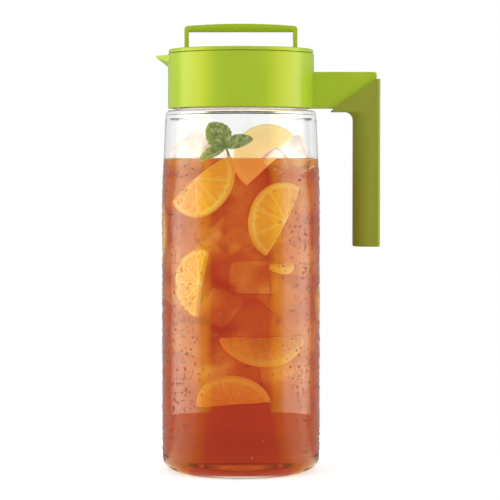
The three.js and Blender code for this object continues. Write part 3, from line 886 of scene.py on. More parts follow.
grip = smooth_copy("grip_sleeve", "handle_grip", math.radians(38))
coat(grip, OLIVE)
even_normals(grip)
grip.visible_glossy = False
place(grip, "pitcher", "handle_grip", "grip_silicone")

# %% [markdown]
# ## The lid
#
# The lid is a turned cap with a thin rim and a skirt that drops into the collar. A rectangular
# pocket in its top takes the folded bail. The skirt, the pocket, the pivots and the hub are cut and
# joined from simple solids, in the order in which a toolmaker would think of them.

# %% Sizes of the lid
RIM_RADIUS = 48.6
RIM_BOTTOM = 280.9
CAP_TOP = 283.5
CAP_WALL = 1.8
SKIRT_RADIUS = 45.7
SKIRT_BORE = 43.8
SKIRT_BOTTOM = 269.2
POCKET_X = 38.6
POCKET_Y = 22.52
POCKET_FLOOR = 275.4
POCKET_ROUND = 3.0
PIVOT_HEIGHT = 279.0
PIVOT_BLOCK = (44.7, 4.2)
PIVOT_BLOCK_TOP = CAP_TOP - 1.1
PIVOT_BORE = 2.15
PIVOT_REACH = 41.0
PIVOT_STEPS = 44
POST_RADIUS = 5.0
POST_BORE = 5.3
HUB_RADIUS = 7.3
HUB_BOTTOM = 270.5
LID_WINDOW_HALF = 11.4
SEAL_GROOVE_RADII = (44.6, 46.7)
SEAL_GROOVE_HEIGHTS = (278.4, 280.1)


def rounded_block(name, half_x, half_y, corner, low, high):
    return block(
        name, (-half_x, -half_y, low), (half_x, half_y, high), corner, 6, only=is_upright,
    )


def cylinder_x(name, radius, x0, x1, steps=SMALL_STEPS):
    """A round bar along X at the height of the bail's pivots."""
    bm = bmesh.new()
    bmesh.ops.create_cone(
        bm, cap_ends=True, segments=steps, radius1=radius * MM, radius2=radius * MM,
        depth=(x1 - x0) * MM, matrix=Matrix.Rotation(math.pi / 2, 4, "Y"),
    )
    bmesh.ops.translate(bm, vec=((x0 + x1) / 2 * MM, 0, PIVOT_HEIGHT * MM), verts=bm.verts)
    return finish_mesh(bm, name)


# %% Join and cut the lid
lid = turned("green_lid", [
    (0, CAP_TOP - CAP_WALL, 0),
    (SKIRT_BORE, CAP_TOP - CAP_WALL, 0),
    (SKIRT_BORE, SKIRT_BOTTOM, 0.3),
    (SKIRT_RADIUS, SKIRT_BOTTOM, 0.3),
    (SKIRT_RADIUS, RIM_BOTTOM, 0),
    (RIM_RADIUS, RIM_BOTTOM, 0.3),
    (RIM_RADIUS, CAP_TOP, 1.1),
    (0, CAP_TOP, 0),
], segments=5)
combine(lid, [
    rounded_block(
        "pocket_box", POCKET_X + CAP_WALL, POCKET_Y + CAP_WALL, POCKET_ROUND + CAP_WALL,
        POCKET_FLOOR - CAP_WALL, CAP_TOP - CAP_WALL / 2,
    ),
    block(
        "pivot_block", (-PIVOT_BLOCK[0], -PIVOT_BLOCK[1], POCKET_FLOOR - CAP_WALL),
        (*PIVOT_BLOCK, PIVOT_BLOCK_TOP),
    ),
    turned("hub", [
        (POST_RADIUS, HUB_BOTTOM, 0), (HUB_RADIUS, HUB_BOTTOM, 0.3),
        (HUB_RADIUS, POCKET_FLOOR - CAP_WALL / 2, 0), (POST_RADIUS, POCKET_FLOOR - CAP_WALL / 2, 0),
    ], SMALL_STEPS, closed=True),
], "UNION")
combine(lid, [
    rounded_block("pocket", POCKET_X, POCKET_Y, POCKET_ROUND, POCKET_FLOOR, CAP_TOP + 1),
    cylinder_x("pivot_holes", PIVOT_BORE, -PIVOT_REACH, PIVOT_REACH, PIVOT_STEPS),
    turned("post_hole", [
        (0, HUB_BOTTOM - 1, 0), (POST_BORE, HUB_BOTTOM - 1, 0), (POST_BORE, POCKET_FLOOR + 1, 0),
        (0, POCKET_FLOOR + 1, 0),
    ], SMALL_STEPS),
    block(
        "lid_window", (-LID_WINDOW_HALF, SKIRT_BORE - 2, SKIRT_BOTTOM - 1),
        (LID_WINDOW_HALF, SKIRT_RADIUS + 1, WINDOW_TOP),
    ),
    turned("seal_groove", [
        (SEAL_GROOVE_RADII[0], SEAL_GROOVE_HEIGHTS[0], 0), (SEAL_GROOVE_RADII[1], SEAL_GROOVE_HEIGHTS[0], 0),
        (SEAL_GROOVE_RADII[1], SEAL_GROOVE_HEIGHTS[1], 0), (SEAL_GROOVE_RADII[0], SEAL_GROOVE_HEIGHTS[1], 0),
    ], closed=True),
], "DIFFERENCE")
coat(lid, LIME)
even_normals(lid)
place(lid, "lid", "lid_cap", "lime_plastic")

# %% [markdown]
# ## The bail
#
# The bail is a flat strap bent into a low arch, with a rounded belly under its top for the fingers.
# The strap is an outline filled, extruded and eased along its edges. The belly is a row of half
# ellipses bridged from one leg to the other.

# %% The strap
BAIL_HALF = 38.0
BAIL_STRAP = 3.0
BAIL_DEPTH = 6.4
BAIL_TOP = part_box("bail_handle")[1].z / MM
BAIL_ARCH = 1.5
BAIL_ROUND = 2.2
BAIL_BELLY = 2.7
BAIL_EDGE_ROUND = 0.5
ARCH_STEPS = 24
leg_inner = BAIL_HALF - BAIL_STRAP


def arch_points(half, drop):
    """Points along the low arch from side to side, lowered by a drop."""
    xs = [-half + 2 * half * i / ARCH_STEPS for i in range(ARCH_STEPS + 1)]
    return [(x, BAIL_TOP - drop - BAIL_ARCH * (x / (BAIL_HALF - BAIL_ROUND)) ** 2) for x in xs]


def make_strap():
    bm = bmesh.new()
    outer = arch_points(BAIL_HALF, 0)
    inner = arch_points(leg_inner, BAIL_STRAP)[::-1]
    outline = [(-BAIL_HALF, PIVOT_HEIGHT), *outer, (BAIL_HALF, PIVOT_HEIGHT),
               (leg_inner, PIVOT_HEIGHT), *inner, (-leg_inner, PIVOT_HEIGHT)]
    verts = [bm.verts.new((x * MM, -BAIL_DEPTH / 2 * MM, z * MM)) for x, z in outline]
    corners = [verts[1], verts[len(outer)]]
    for pair in zip(verts, verts[1:] + verts[:1]):
        bm.edges.new(pair)
    for corner in corners:
        bevel(bm, [corner], BAIL_ROUND, 5, "VERTICES")
    made = bmesh.ops.contextual_create(bm, geom=list(bm.edges))
    pushed = bmesh.ops.extrude_face_region(bm, geom=made["faces"])
    moved = [v for v in pushed["geom"] if isinstance(v, bmesh.types.BMVert)]
    bmesh.ops.translate(bm, vec=(0, BAIL_DEPTH * MM, 0), verts=moved)
    bmesh.ops.recalc_face_normals(bm, faces=bm.faces)
    rims = [edge for edge in bm.edges if edge.calc_face_angle(0.0) > math.radians(80)
            and abs(edge.verts[0].co.y - edge.verts[1].co.y) < MERGE_DISTANCE]
    bevel(bm, rims, BAIL_EDGE_ROUND, 3)
    return finish_mesh(bm, "green_bail")


bail = make_strap()
print("bail strap:", len(bail.data.polygons), "faces")


# %% The belly and the pins
BELLY_SEGMENTS = 20
BELLY_INSET = 0.4
PIN_RADIUS = 2.0
PIN_LENGTH = 2.6


def bridge_rings(bm, rings):
    """Joins rings of vertices into a closed tube, and fills its ends."""
    for one, other in zip(rings, rings[1:]):
        loops = [
            edge for edge in bm.edges
            if len(edge.link_faces) < 2
            and any(all(vert in ring for vert in edge.verts) for ring in (one, other))
        ]
        bmesh.ops.bridge_loops(bm, edges=loops)
    bmesh.ops.holes_fill(bm, edges=bm.edges, sides=0)
    bmesh.ops.recalc_face_normals(bm, faces=bm.faces)


def make_belly():
    bm = bmesh.new()
    rings = []
    belly_bottom = BAIL_TOP - BAIL_STRAP - BAIL_BELLY
    half_depth = BAIL_DEPTH / 2 - BELLY_INSET
    for x, underside in arch_points(leg_inner + 0.5, BAIL_STRAP):
        made = bmesh.ops.create_circle(bm, cap_ends=False, segments=BELLY_SEGMENTS, radius=1.0)
        for vert in made["verts"]:
            across, up = vert.co.x, vert.co.y
            drop = up * (underside - belly_bottom) if up < 0 else up * 0.5
            vert.co = (x * MM, across * half_depth * MM, (underside + drop) * MM)
        rings.append(made["verts"])
    bridge_rings(bm, rings)
    return finish_mesh(bm, "belly")


combine(bail, [
    make_belly(),
    cylinder_x("eye_left", BAIL_DEPTH / 2, -BAIL_HALF, -leg_inner),
    cylinder_x("eye_right", BAIL_DEPTH / 2, leg_inner, BAIL_HALF),
    cylinder_x("pin_left", PIN_RADIUS, -BAIL_HALF - PIN_LENGTH, -leg_inner - 0.5),
    cylinder_x("pin_right", PIN_RADIUS, leg_inner + 0.5, BAIL_HALF + PIN_LENGTH),
], "UNION")
coat(bail, LIME)
even_normals(bail)
place(bail, "bail", "bail_handle", "lime_plastic")

# %% [markdown]
# ## Inner parts
#
# The strainer, the clip and the seals show when the lid is lifted or the pitcher is seen from
# below. Their construction shapes are right, so copies of them take the finishes.

# %% Strainer, clip and seals
INNER_PARTS = [
    # name, construction node, body, slot, finish
    ("green_strainer", "strainer_insert", "insert", "lime_plastic", LIME),
    ("green_clip", "hub_clip", "insert", "lime_plastic", LIME),
    ("plug_seal", "insert_seal", "insert", "seal_silicone", SEAL),
    ("post_seal", "hub_seal", "insert", "seal_silicone", SEAL),
    ("skirt_seal", "cap_seal", "lid", "seal_silicone", SEAL),
    ("window_pad", "spout_pad", "lid", "seal_silicone", SEAL),
    ("neck_ring", "neck_gasket", "pitcher", "seal_silicone", SEAL),
]
for name, node_name, body, slot, finish in INNER_PARTS:
    piece = smooth_copy(name, node_name)
    coat(piece, finish)
    place(piece, body, node_name, slot)

# %% [markdown]
# ## The tea
#
# The drink fills the body to just under the shoulder. Its mesh reaches a little into the plastic
# wall: a gap would leave a film of air that mirrors light, and meeting faces would flicker. The
# colour is a volume that takes out more blue and green the further light travels in it.

# %% Pour the tea
TEA_OVERLAP = 0.15
tea_wall = WALL - TEA_OVERLAP
tea_taper = taper(tea_wall, SHOULDER_HEIGHT - WALL)
tea_top_radius = radius_at(tea_taper, TEA_LEVEL + MENISCUS)
tea = turned("iced_tea", [
    (0, BASE_THICKNESS - TEA_OVERLAP, 0),
    (BODY_RADIUS - tea_wall, BASE_THICKNESS - TEA_OVERLAP, BASE_ROUND - tea_wall),
    *(point for point in tea_taper if point[1] < TEA_LEVEL),
    (tea_top_radius, TEA_LEVEL + MENISCUS, 0),
    (tea_top_radius - 0.9, TEA_LEVEL + 0.25, 0.4),
    (tea_top_radius - MENISCUS_WIDTH, TEA_LEVEL, 0.8),
    (0, TEA_LEVEL, 0),
], segments=8)
print("tea to", TEA_LEVEL, "mm")

# %% [markdown]
# ## Ice
#
# The ice is some forty lumps of cube ice, thawed round at the corners. A cube is subdivided, its
# corners are drawn in, its faces sag a little, and each lump is turned and placed. All of them are
# cut out of the tea, so that light crosses less drink where there is ice, as it does in a real
# glass. Each lump is its own cutter, because one mesh of lumps that overlap can lose most of its
# holes in a boolean. Sunken ice is only that void, because its surface nearly vanishes in the
# drink, and the lumps that float get a body of ice too.

# %% Make the lumps of ice
ICE_SEED = 7
ICE_CUTS = 5
ICE_ROUNDNESS = 4
ICE_SHRINK = 0.15
FLOATING_ICE = [
    # x, y, z, size
    (-34, -8, 213, 27), (-16, -27, 211, 20), (34, -8, 213, 26), (20, 22, 213, 24), (-12, 24, 211, 24),
    (24, -33, 208, 18), (-38, 14, 210, 20), (37, 18, 210, 20),
]
SUNKEN_ICE = [
    # x, y, z, size
    (2, -8, 194, 25), (-26, 14, 186, 25), (24, 16, 184, 25), (-20, -18, 166, 25), (20, -16, 164, 25),
    (0, 16, 162, 26), (-29, 6, 144, 25), (28, 8, 142, 25), (-1, -14, 139, 26), (6, 22, 130, 25),
    (-22, 18, 118, 25), (23, -16, 118, 25), (-12, -18, 112, 25), (6, 8, 100, 26), (-27, -4, 90, 25),
    (27, 12, 90, 25), (-4, -24, 84, 24), (18, -14, 72, 25), (-16, 16, 70, 26), (20, 18, 64, 24),
    (-14, -14, 62, 24), (0, 0, 172, 22), (0, -2, 66, 22), (2, -4, 155, 22), (-4, 24, 184, 24),
    (-14, 2, 156, 18), (-10, 28, 150, 20), (13, 4, 150, 22), (-18, -12, 148, 18), (6, -4, 122, 22),
]
ICE_REACH = BODY_RADIUS - WALL - 0.8 * SHOULDER_NARROWING
TUCK_STEP = 0.2


def cube_of_ice():
    """A finely divided cube, two units across, kept as a mesh for all the lumps."""
    bm = bmesh.new()
    bmesh.ops.create_cube(bm, size=2.0)
    bmesh.ops.subdivide_edges(bm, edges=bm.edges, cuts=ICE_CUTS, use_grid_fill=True)
    mesh = bpy.data.meshes.new("cube_of_ice")
    bm.to_mesh(mesh)
    bm.free()
    return mesh


def thaw(mesh, rng):
    """Rounds the corners of a lump and hollows its faces a little."""
    dents = [rng.uniform(0.02, 0.10) for _ in range(3)]
    stretch = [rng.uniform(0.84, 1.04) for _ in range(3)]
    for vert in mesh.vertices:
        pull = sum(abs(c) ** ICE_ROUNDNESS for c in vert.co) ** (-1 / ICE_ROUNDNESS)
        round_co = vert.co * pull
        for i in range(3):
            flat = (1 - round_co[(i + 1) % 3] ** 2) * (1 - round_co[(i + 2) % 3] ** 2)
            vert.co[i] = round_co[i] * stretch[i] * (1 - dents[i] * flat)


def tucked(lump, centre, turn):
    """The lump's centre, moved towards the axis until none of the lump is in the wall."""
    points = [turn @ vert.co for vert in lump.vertices]
    centre = Vector(centre)
    inward = Vector((-centre.x, -centre.y, 0)).normalized()
    while max(math.hypot(centre.x + p.x, centre.y + p.y) for p in points) > ICE_REACH:
        centre += inward * TUCK_STEP
    return centre


def make_ice(lumps, shrink):
    """Thaws, turns and places the lumps, and hands them out one by one."""
    rng = random.Random(ICE_SEED)
    cube = cube_of_ice()
    for x, y, z, size in lumps:
        lump = cube.copy()
        thaw(lump, rng)
        axis = Vector((rng.uniform(-1, 1), rng.uniform(-1, 1), rng.uniform(-1, 1))).normalized()
        turn = Matrix.Rotation(rng.uniform(0, math.pi), 4, axis)
        centre = tucked(lump, (x, y, z), turn @ Matrix.Scale(size / 2, 4))
        scale = Matrix.Scale((size - shrink) / 2 * MM, 4)
        lump.transform(Matrix.Translation(centre * MM) @ turn @ scale)
        yield lump
        bpy.data.meshes.remove(lump)
    bpy.data.meshes.remove(cube)


print("ice reaches", round(ICE_REACH, 2), "mm from the axis")

# %% Cut the ice out of the tea
floating = bmesh.new()
for lump in make_ice(FLOATING_ICE, 0.0):
    floating.from_mesh(lump)
bmesh.ops.bisect_plane(
    floating, geom=list(floating.verts) + list(floating.edges) + list(floating.faces),
    dist=MERGE_DISTANCE, plane_co=(0, 0, TEA_LEVEL * MM), plane_no=(0, 0, 1),
)
ice = finish_mesh(floating, "floating_ice", math.radians(60))
every_lump = make_ice(FLOATING_ICE + SUNKEN_ICE, ICE_SHRINK)
combine(tea, [finish_mesh(read_mesh(lump), "ice_void") for lump in every_lump], "DIFFERENCE")
place(tea, "pitcher")
place(ice, "pitcher")

# %% [markdown]
# ## Tea and ice finishes
#
# Tea bends light like water, and ice a little less. Against the wall and the ice, the drink's own
# surface bends next to nothing, because the wall's wet side does that, and its top is a true water
# surface. The colour is plain Volume Absorption. Ice in the drink is nearly invisible but for its
# frost and the tea that it replaces, while the ice that stands out of it sparkles.

# %% Tea
TEA_DENSITY = 90.0
TEA_COLOUR = (0.907, 0.592, 0.05, 1.0)
TEA_FROST = 0.25
ICE_IN_TEA_IOR = 1.0015


def tea_material():
    material, nodes = new_material("iced_tea")
    coords = object_coords(nodes)
    height = node(nodes, "SeparateXYZ", coords).outputs["Z"]
    flat = node(nodes, "VectorMath", coords, (1.0, 1.0, 0.0), operation="MULTIPLY")
    reach = length_of(nodes, flat.outputs["Vector"])
    wall_band = [(BODY_RADIUS - WALL - SHOULDER_NARROWING / part) * MM for part in (2, 3)]
    top_band = [(TEA_LEVEL - below) * MM for below in (0.6, 0.4)]
    rim_band = [(tea_top_radius - inside) * MM for inside in (MENISCUS_WIDTH + 0.4, MENISCUS_WIDTH)]
    at_wall = mapped(nodes, reach, wall_band, (ICE_IN_TEA_IOR, 1.0))
    at_top = mapped(nodes, height, top_band, (1.0, TEA_IOR))
    at_rim = mapped(nodes, reach, rim_band, (TEA_IOR, 1.0))
    top = maths(nodes, "MINIMUM", at_top, at_rim)
    swirl = noise(nodes, coords, Scale=14.0, Detail=2.0)
    # The export drops a linked IOR and keeps the plain value that was there before.
    surface = feed(nodes["Principled BSDF"], IOR=TEA_IOR, Roughness=0.0, Transmission_Weight=1.0)
    feed(
        surface, IOR=maths(nodes, "MAXIMUM", at_wall, top),
        Roughness=mapped(nodes, at_wall, (1.0, ICE_IN_TEA_IOR), (0.0, TEA_FROST)),
        Base_Color=ramp(nodes, swirl, [(0.35, (0.985, 0.98, 0.98)), (0.65, WHITE[:3])]),
    )
    let_lamps_through(nodes)
    volume = node(nodes, "VolumeAbsorption", Color=TEA_COLOUR, Density=TEA_DENSITY)
    feed(nodes["Material Output"], Volume=volume.outputs["Volume"])
    return material


coat(tea, tea_material())
print("tea density", TEA_DENSITY)


# %% Ice in air and ice in tea
ICE_IOR = 1.31
ICE_IN_AIR_IOR = 1.24


def ice_material(name, ior, roughness, clearness, glow):
    """Cloudy ice, whose roughness goes from its clearest to its frostiest parts."""
    material, nodes = new_material(name)
    cloud = noise(nodes, object_coords(nodes), Scale=70.0, Detail=5.0)
    # The cloudy parts are frost, and their rosy tone is painted light from the tea around the ice.
    frost_and_tea_light = ramp(nodes, cloud, [(0.4, (0.97, 0.93, 0.91)), (0.7, (0.93, 0.84, 0.8))])
    # Layer Weight greys the rims of the ice: painted edge shade.
    edge = node(nodes, "LayerWeight", Blend=0.45).outputs["Facing"]
    rim = ramp(nodes, edge, [(0.35, WHITE[:3]), (1.0, (0.93, 0.88, 0.86))])
    shade = blended(nodes, "MULTIPLY", 1.0, frost_and_tea_light, rim)
    # The emission is a painted glow, given to the ice in air.
    feed(
        nodes["Principled BSDF"], IOR=ior, Transmission_Weight=clearness, Base_Color=shade,
        Emission_Color=shade, Emission_Strength=glow,
        Roughness=mapped(nodes, cloud, (0.45, 0.75), roughness),
        Normal=node(nodes, "Bump", Strength=0.6, Distance=0.002, Height=cloud).outputs["Normal"],
    )
    let_lamps_through(nodes)
    return material


coat(
    ice,
    ice_material("ice_in_air", ICE_IN_AIR_IOR, (0.03, 0.25), 0.85, 0.22),
    ice_material("ice_in_tea", TEA_IOR / ICE_IOR, (0.05, 0.2), 1.0, 0.0),
)
for face in ice.data.polygons:
    if face.center.z < TEA_LEVEL * MM:
        face.material_index = 1
print("ice:", len(FLOATING_ICE), "floating and", len(SUNKEN_ICE), "sunken lumps")

# %% [markdown]
# ## Orange slices
#
# Half slices of orange float in the drink, most of them pressed against the wall. Each starts as a
# thin disc. Insets give it the peel, the pith and rings of flesh, the flesh swells between its
# membranes, and a cut through the middle halves it. The flat coordinates of the disc are kept as
# its UV map, so the peel, pith, membranes and juice sacs can be drawn in the material.

# %% Shape a slice
SLICE_THICKNESS = 3.6
SLICE_EDGE_ROUND = 0.9
SLICE_SEGMENTS = 72
SEGMENTS = 9
SLICE_RINGS = [
    # share of the radius, rise in millimetres, from the peel inwards
    (0.065, 0.0), (0.03, -0.25), (0.1, 0.2), (0.2, 0.1), (0.22, 0.0), (0.2, -0.1),
]
FLESH_SPAN = (0.15, 0.85)
FLESH_SWELL = 0.5
SLICE_REACH = BODY_RADIUS - WALL - SHOULDER_NARROWING / 4


def tuck_inside(bm, inward):
    """Moves a slice towards the axis by small steps, until none of it is in the wall."""
    while max(math.hypot(v.co.x, v.co.y) for v in bm.verts) > SLICE_REACH * MM:
        bmesh.ops.translate(bm, vec=inward * TUCK_STEP * MM, verts=bm.verts)


def keep_flat_place(faces, uv, radius):
    """Writes where a face is on the disc to the UV map, before the slice is bent and turned."""
    for face in faces:
        for loop in face.loops:
            loop[uv].uv = (loop.vert.co.x / (radius * MM), loop.vert.co.y / (radius * MM))


def swell_flesh(bm, radius):
    """Ripples the flesh, highest in the middle of each segment and along the membranes."""
    for vert in bm.verts:
        reach = math.hypot(vert.co.x, vert.co.y) / (radius * MM)
        if FLESH_SPAN[0] < reach < FLESH_SPAN[1]:
            angle = math.atan2(vert.co.y, vert.co.x)
            swell = abs(math.sin(angle * SEGMENTS / 2)) * FLESH_SWELL * MM
            vert.co.z += math.copysign(swell - FLESH_SWELL / 2 * MM, vert.co.z)


def orange_slice(name, centre, radius, facing, chord_turn, cup):
    """facing is the way the cut face looks, and chord_turn turns the half within its plane."""
    bm = bmesh.new()
    bmesh.ops.create_cone(
        bm, cap_ends=True, segments=SLICE_SEGMENTS, radius1=radius * MM, radius2=radius * MM,
        depth=SLICE_THICKNESS * MM,
    )
    rims = [e for e in bm.edges if abs(e.verts[0].co.z - e.verts[1].co.z) < MERGE_DISTANCE]
    bevel(bm, rims, SLICE_EDGE_ROUND, 3)
    caps = [f for f in bm.faces if len(f.verts) == SLICE_SEGMENTS]
    for share, rise in SLICE_RINGS:
        bmesh.ops.inset_region(bm, faces=caps, thickness=share * radius * MM, depth=rise * MM)
    uv = bm.loops.layers.uv.new("slice")
    keep_flat_place(bm.faces, uv, radius)
    swell_flesh(bm, radius)
    bmesh.ops.bisect_plane(
        bm, geom=list(bm.verts) + list(bm.edges) + list(bm.faces), dist=MERGE_DISTANCE,
        plane_co=(0, 0, 0), plane_no=(0, 1, 0), clear_outer=True,
    )
    cut_edges = [e for e in bm.edges if len(e.link_faces) == 1]
    filled = bmesh.ops.holes_fill(bm, edges=cut_edges, sides=0)
    keep_flat_place(filled["faces"], uv, radius)
    for vert in bm.verts:
        vert.co.z += cup * (vert.co.x / (radius * MM)) ** 2 * MM
    turn = Vector(facing).normalized().to_track_quat("Z", "Y").to_matrix().to_4x4()
    spin = Matrix.Rotation(math.radians(chord_turn), 4, "Z")
    bmesh.ops.transform(
        bm, matrix=Matrix.Translation(Vector(centre) * MM) @ turn @ spin, verts=bm.verts,
    )
    tuck_inside(bm, Vector((-centre[0], -centre[1], 0)).normalized())
    bmesh.ops.recalc_face_normals(bm, faces=bm.faces)
    return finish_mesh(bm, name, math.radians(50))


# %% Place the slices
SLICES = [
    # name, centre, radius, facing, turn of the chord, cup
    ("orange_slice_upper_left", (-30, -38, 197), 25.5, (-0.55, -0.83, 0.1), 37, -5.0),
    ("orange_slice_right", (31, -40, 169), 25.5, (0.5, -0.86, 0.05), 240, -4.0),
    ("orange_slice_left", (-27, -43, 128), 22.5, (-0.72, -0.69, 0.0), 258, -1.5),
    ("orange_slice_lower", (12, -19, 90), 25.0, (0.15, -0.62, 0.78), 0, 0.8),
    ("orange_slice_bottom", (-4, -25, 49), 22.0, (-0.1, -0.8, -0.58), 187, 0.6),
    ("orange_slice_top", (19, -20, 209), 25.0, (0.25, -0.9, 0.3), 225, 1.0),
    ("orange_slice_edge", (24, -32, 139), 9.0, (0.2, -0.3, 0.93), 10, 0.6),
    ("orange_slice_left_edge", (-45, 8, 160), 20.0, (-1.0, 0.12, 0.05), 95, 0.5),
    ("orange_slice_right_edge", (44, 6, 112), 13.0, (1.0, 0.1, 0.1), 250, 0.5),
]
slices = [place(orange_slice(*row), "pitcher") for row in SLICES]

# %% [markdown]
# ## The flesh of an orange
#
# The slice's own UV map gives each point a distance and an angle from its core. The distance picks
# peel, pith or flesh from a ramp. The angle, folded nine times, draws the membranes between the
# segments, and a noise stretched outwards draws the juice sacs.

# %% Orange finish
PAINTED_LIGHT_WASH = (1.0, 0.85, 0.5, 1.0)
MEMBRANE = (1.0, 0.58, 0.1, 1.0)
FLESH_IOR = 1.36
FLESH_SCATTER = (0.006, 0.004, 0.002)


def grey(level):
    return (level, level, level)


def orange_material(name, painted_light_share, glow):
    material, nodes = new_material(name)
    where = node(nodes, "UVMap", uv_map="slice").outputs["UV"]
    split = node(nodes, "SeparateXYZ", where).outputs
    reach = length_of(nodes, where)
    angle = maths(nodes, "ARCTAN2", split["Y"], split["X"])
    folded = maths(nodes, "MULTIPLY", angle, SEGMENTS / math.tau)
    width = maths(nodes, "MULTIPLY", maths(nodes, "PINGPONG", folded, 0.5), reach)
    line = ramp(nodes, width, [(0.0, grey(1.0)), (0.03, grey(0.5)), (0.07, grey(0.0))])
    on_sac = node(nodes, "CombineXYZ", folded, reach).outputs["Vector"]
    sacs = noise(nodes, on_sac, Scale=5.0, Detail=3.0, Roughness=0.6)
    flesh = ramp(nodes, sacs, [
        (0.3, (0.86, 0.35, 0.01)), (0.52, (0.92, 0.45, 0.015)), (0.75, (1.0, 0.58, 0.05)),
    ])
    rim = ramp(nodes, reach, [
        (0.0, (0.98, 0.72, 0.3)), (0.12, (0.95, 0.55, 0.14)),
        (0.89, (0.97, 0.62, 0.13)), (0.95, (0.94, 0.53, 0.06)), (1.0, (0.9, 0.44, 0.03)),
    ])
    rim_share = ramp(nodes, reach, [
        (0.0, grey(1.0)), (0.08, grey(0.7)), (0.13, grey(0.0)), (0.84, grey(0.0)), (0.91, grey(1.0)),
    ])
    membrane = blended(nodes, "MIX", line, flesh, MEMBRANE)
    whole = blended(nodes, "MIX", rim_share, membrane, rim)
    # This mix lays painted light over the whole slice, a pale wash.
    with_painted_light = blended(nodes, "MIX", painted_light_share, whole, PAINTED_LIGHT_WASH)
    relief = node(nodes, "Bump", Strength=0.4, Distance=0.0006, Height=sacs)
    # The emission is a painted glow, for the light that a real slice lets through.
    feed(
        nodes["Principled BSDF"], Base_Color=with_painted_light, Emission_Color=with_painted_light, Emission_Strength=glow,
        Roughness=0.35, IOR=FLESH_IOR / TEA_IOR, Subsurface_Weight=0.6, Subsurface_Scale=1.0,
        Subsurface_Radius=FLESH_SCATTER, Normal=relief.outputs["Normal"],
    )
    return material


# The top slice and the deep ones get more painted light and painted glow than the rest.
near_orange = orange_material("orange_slice", 0.03, 0.28)
deep_orange = orange_material("orange_slice_deep", 0.1, 0.32)
SLICE_FINISHES = {
    "orange_slice_top": orange_material("orange_slice_painted_light", 0.6, 0.55),
    "orange_slice_lower": deep_orange,
    "orange_slice_bottom": deep_orange,
}
for piece in slices:
    coat(piece, SLICE_FINISHES.get(piece.name, near_orange))
print(len(slices), "orange slices")

# %% [markdown]
# ## Mint
#
# A sprig of mint with three leaves rests on the ice. A leaf is a grid pulled to a pointed oval with
# a toothed edge, folded along its midrib and curled at its tip, then given a little thickness.

# %% Shape a leaf
LEAF_CUTS_LONG = 28
LEAF_CUTS_WIDE = 12
LEAF_THICKNESS = 0.35
LEAF_BASE = Vector((-10.0, -37.0, 218.0))


def mint_leaf(name, length, width, heading, facing, curl):
    bm = bmesh.new()
    bmesh.ops.create_grid(bm, x_segments=LEAF_CUTS_LONG, y_segments=LEAF_CUTS_WIDE, size=0.5)
    uv = bm.loops.layers.uv.new("leaf")
    for face in bm.faces:
        for loop in face.loops:
            loop[uv].uv = (loop.vert.co.x + 0.5, loop.vert.co.y * 2)
    for vert in bm.verts:
        along, across = vert.co.x + 0.5, vert.co.y * 2
        oval = math.sin(math.pi * along ** 0.9) ** 0.55 if 0 < along < 1 else 0.0
        teeth = 1 + 0.035 * math.sin(along * 44) * abs(across) ** 3
        side = across * max(oval, 0.02) * width / 2 * teeth
        quilt = 0.35 * math.sin(along * 26 + abs(across) * 5) * (1 - abs(across)) * min(oval, 1)
        lift = abs(side) * 0.35 + quilt - curl * along ** 2
        vert.co = (along * length * MM, side * MM, lift * MM)
    bmesh.ops.remove_doubles(bm, verts=bm.verts, dist=LOOSE_MERGE_DISTANCE)
    bmesh.ops.solidify(bm, geom=bm.faces, thickness=LEAF_THICKNESS * MM)
    forward = Vector(heading).normalized()
    up = Vector(facing)
    up = (up - forward * up.dot(forward)).normalized()
    basis = Matrix((forward, up.cross(forward), up)).transposed().to_4x4()
    bmesh.ops.transform(bm, matrix=Matrix.Translation(LEAF_BASE * MM) @ basis, verts=bm.verts)
    bmesh.ops.recalc_face_normals(bm, faces=bm.faces)
    return finish_mesh(bm, name, math.radians(70))


LEAVES = [
    # name, length, width, heading, facing, curl
    ("mint_leaf_upper", 18.5, 17.0, (-0.55, -0.15, 0.85), (0.2, -0.95, 0.1), 1.5),
    ("mint_leaf_right", 18.5, 10.5, (0.93, -0.1, 0.36), (-0.2, -0.85, 0.5), 3.0),
    ("mint_leaf_left", 19.0, 9.0, (-0.88, -0.2, -0.42), (-0.2, -0.8, 0.55), 2.0),
]
leaves = [place(mint_leaf(*row), "pitcher") for row in LEAVES]


# %% The stem
STEM_FOOT = Vector((-6.0, -35.0, 206.0))
STEM_RINGS = 8
STEM_BOW = 1.2


def make_stem():
    """A tapering stem from the leaves down to the drink, as a chain of bridged rings."""
    bm = bmesh.new()
    rings = []
    for i in range(STEM_RINGS + 1):
        share = i / STEM_RINGS
        middle = STEM_FOOT.lerp(LEAF_BASE, share) + Vector((0, 0, STEM_BOW * math.sin(math.pi * share)))
        radius = 0.9 - 0.25 * share
        made = bmesh.ops.create_circle(bm, cap_ends=False, segments=12, radius=radius * MM)
        bmesh.ops.translate(bm, vec=middle * MM, verts=made["verts"])
        rings.append(made["verts"])
    bridge_rings(bm, rings)
    return finish_mesh(bm, "mint_stem", math.radians(60))


stem = place(make_stem(), "pitcher")

# %% Mint finish
VEINS_PER_SIDE = 9.0
VEIN_COLOUR = (0.13, 0.22, 0.04, 1.0)


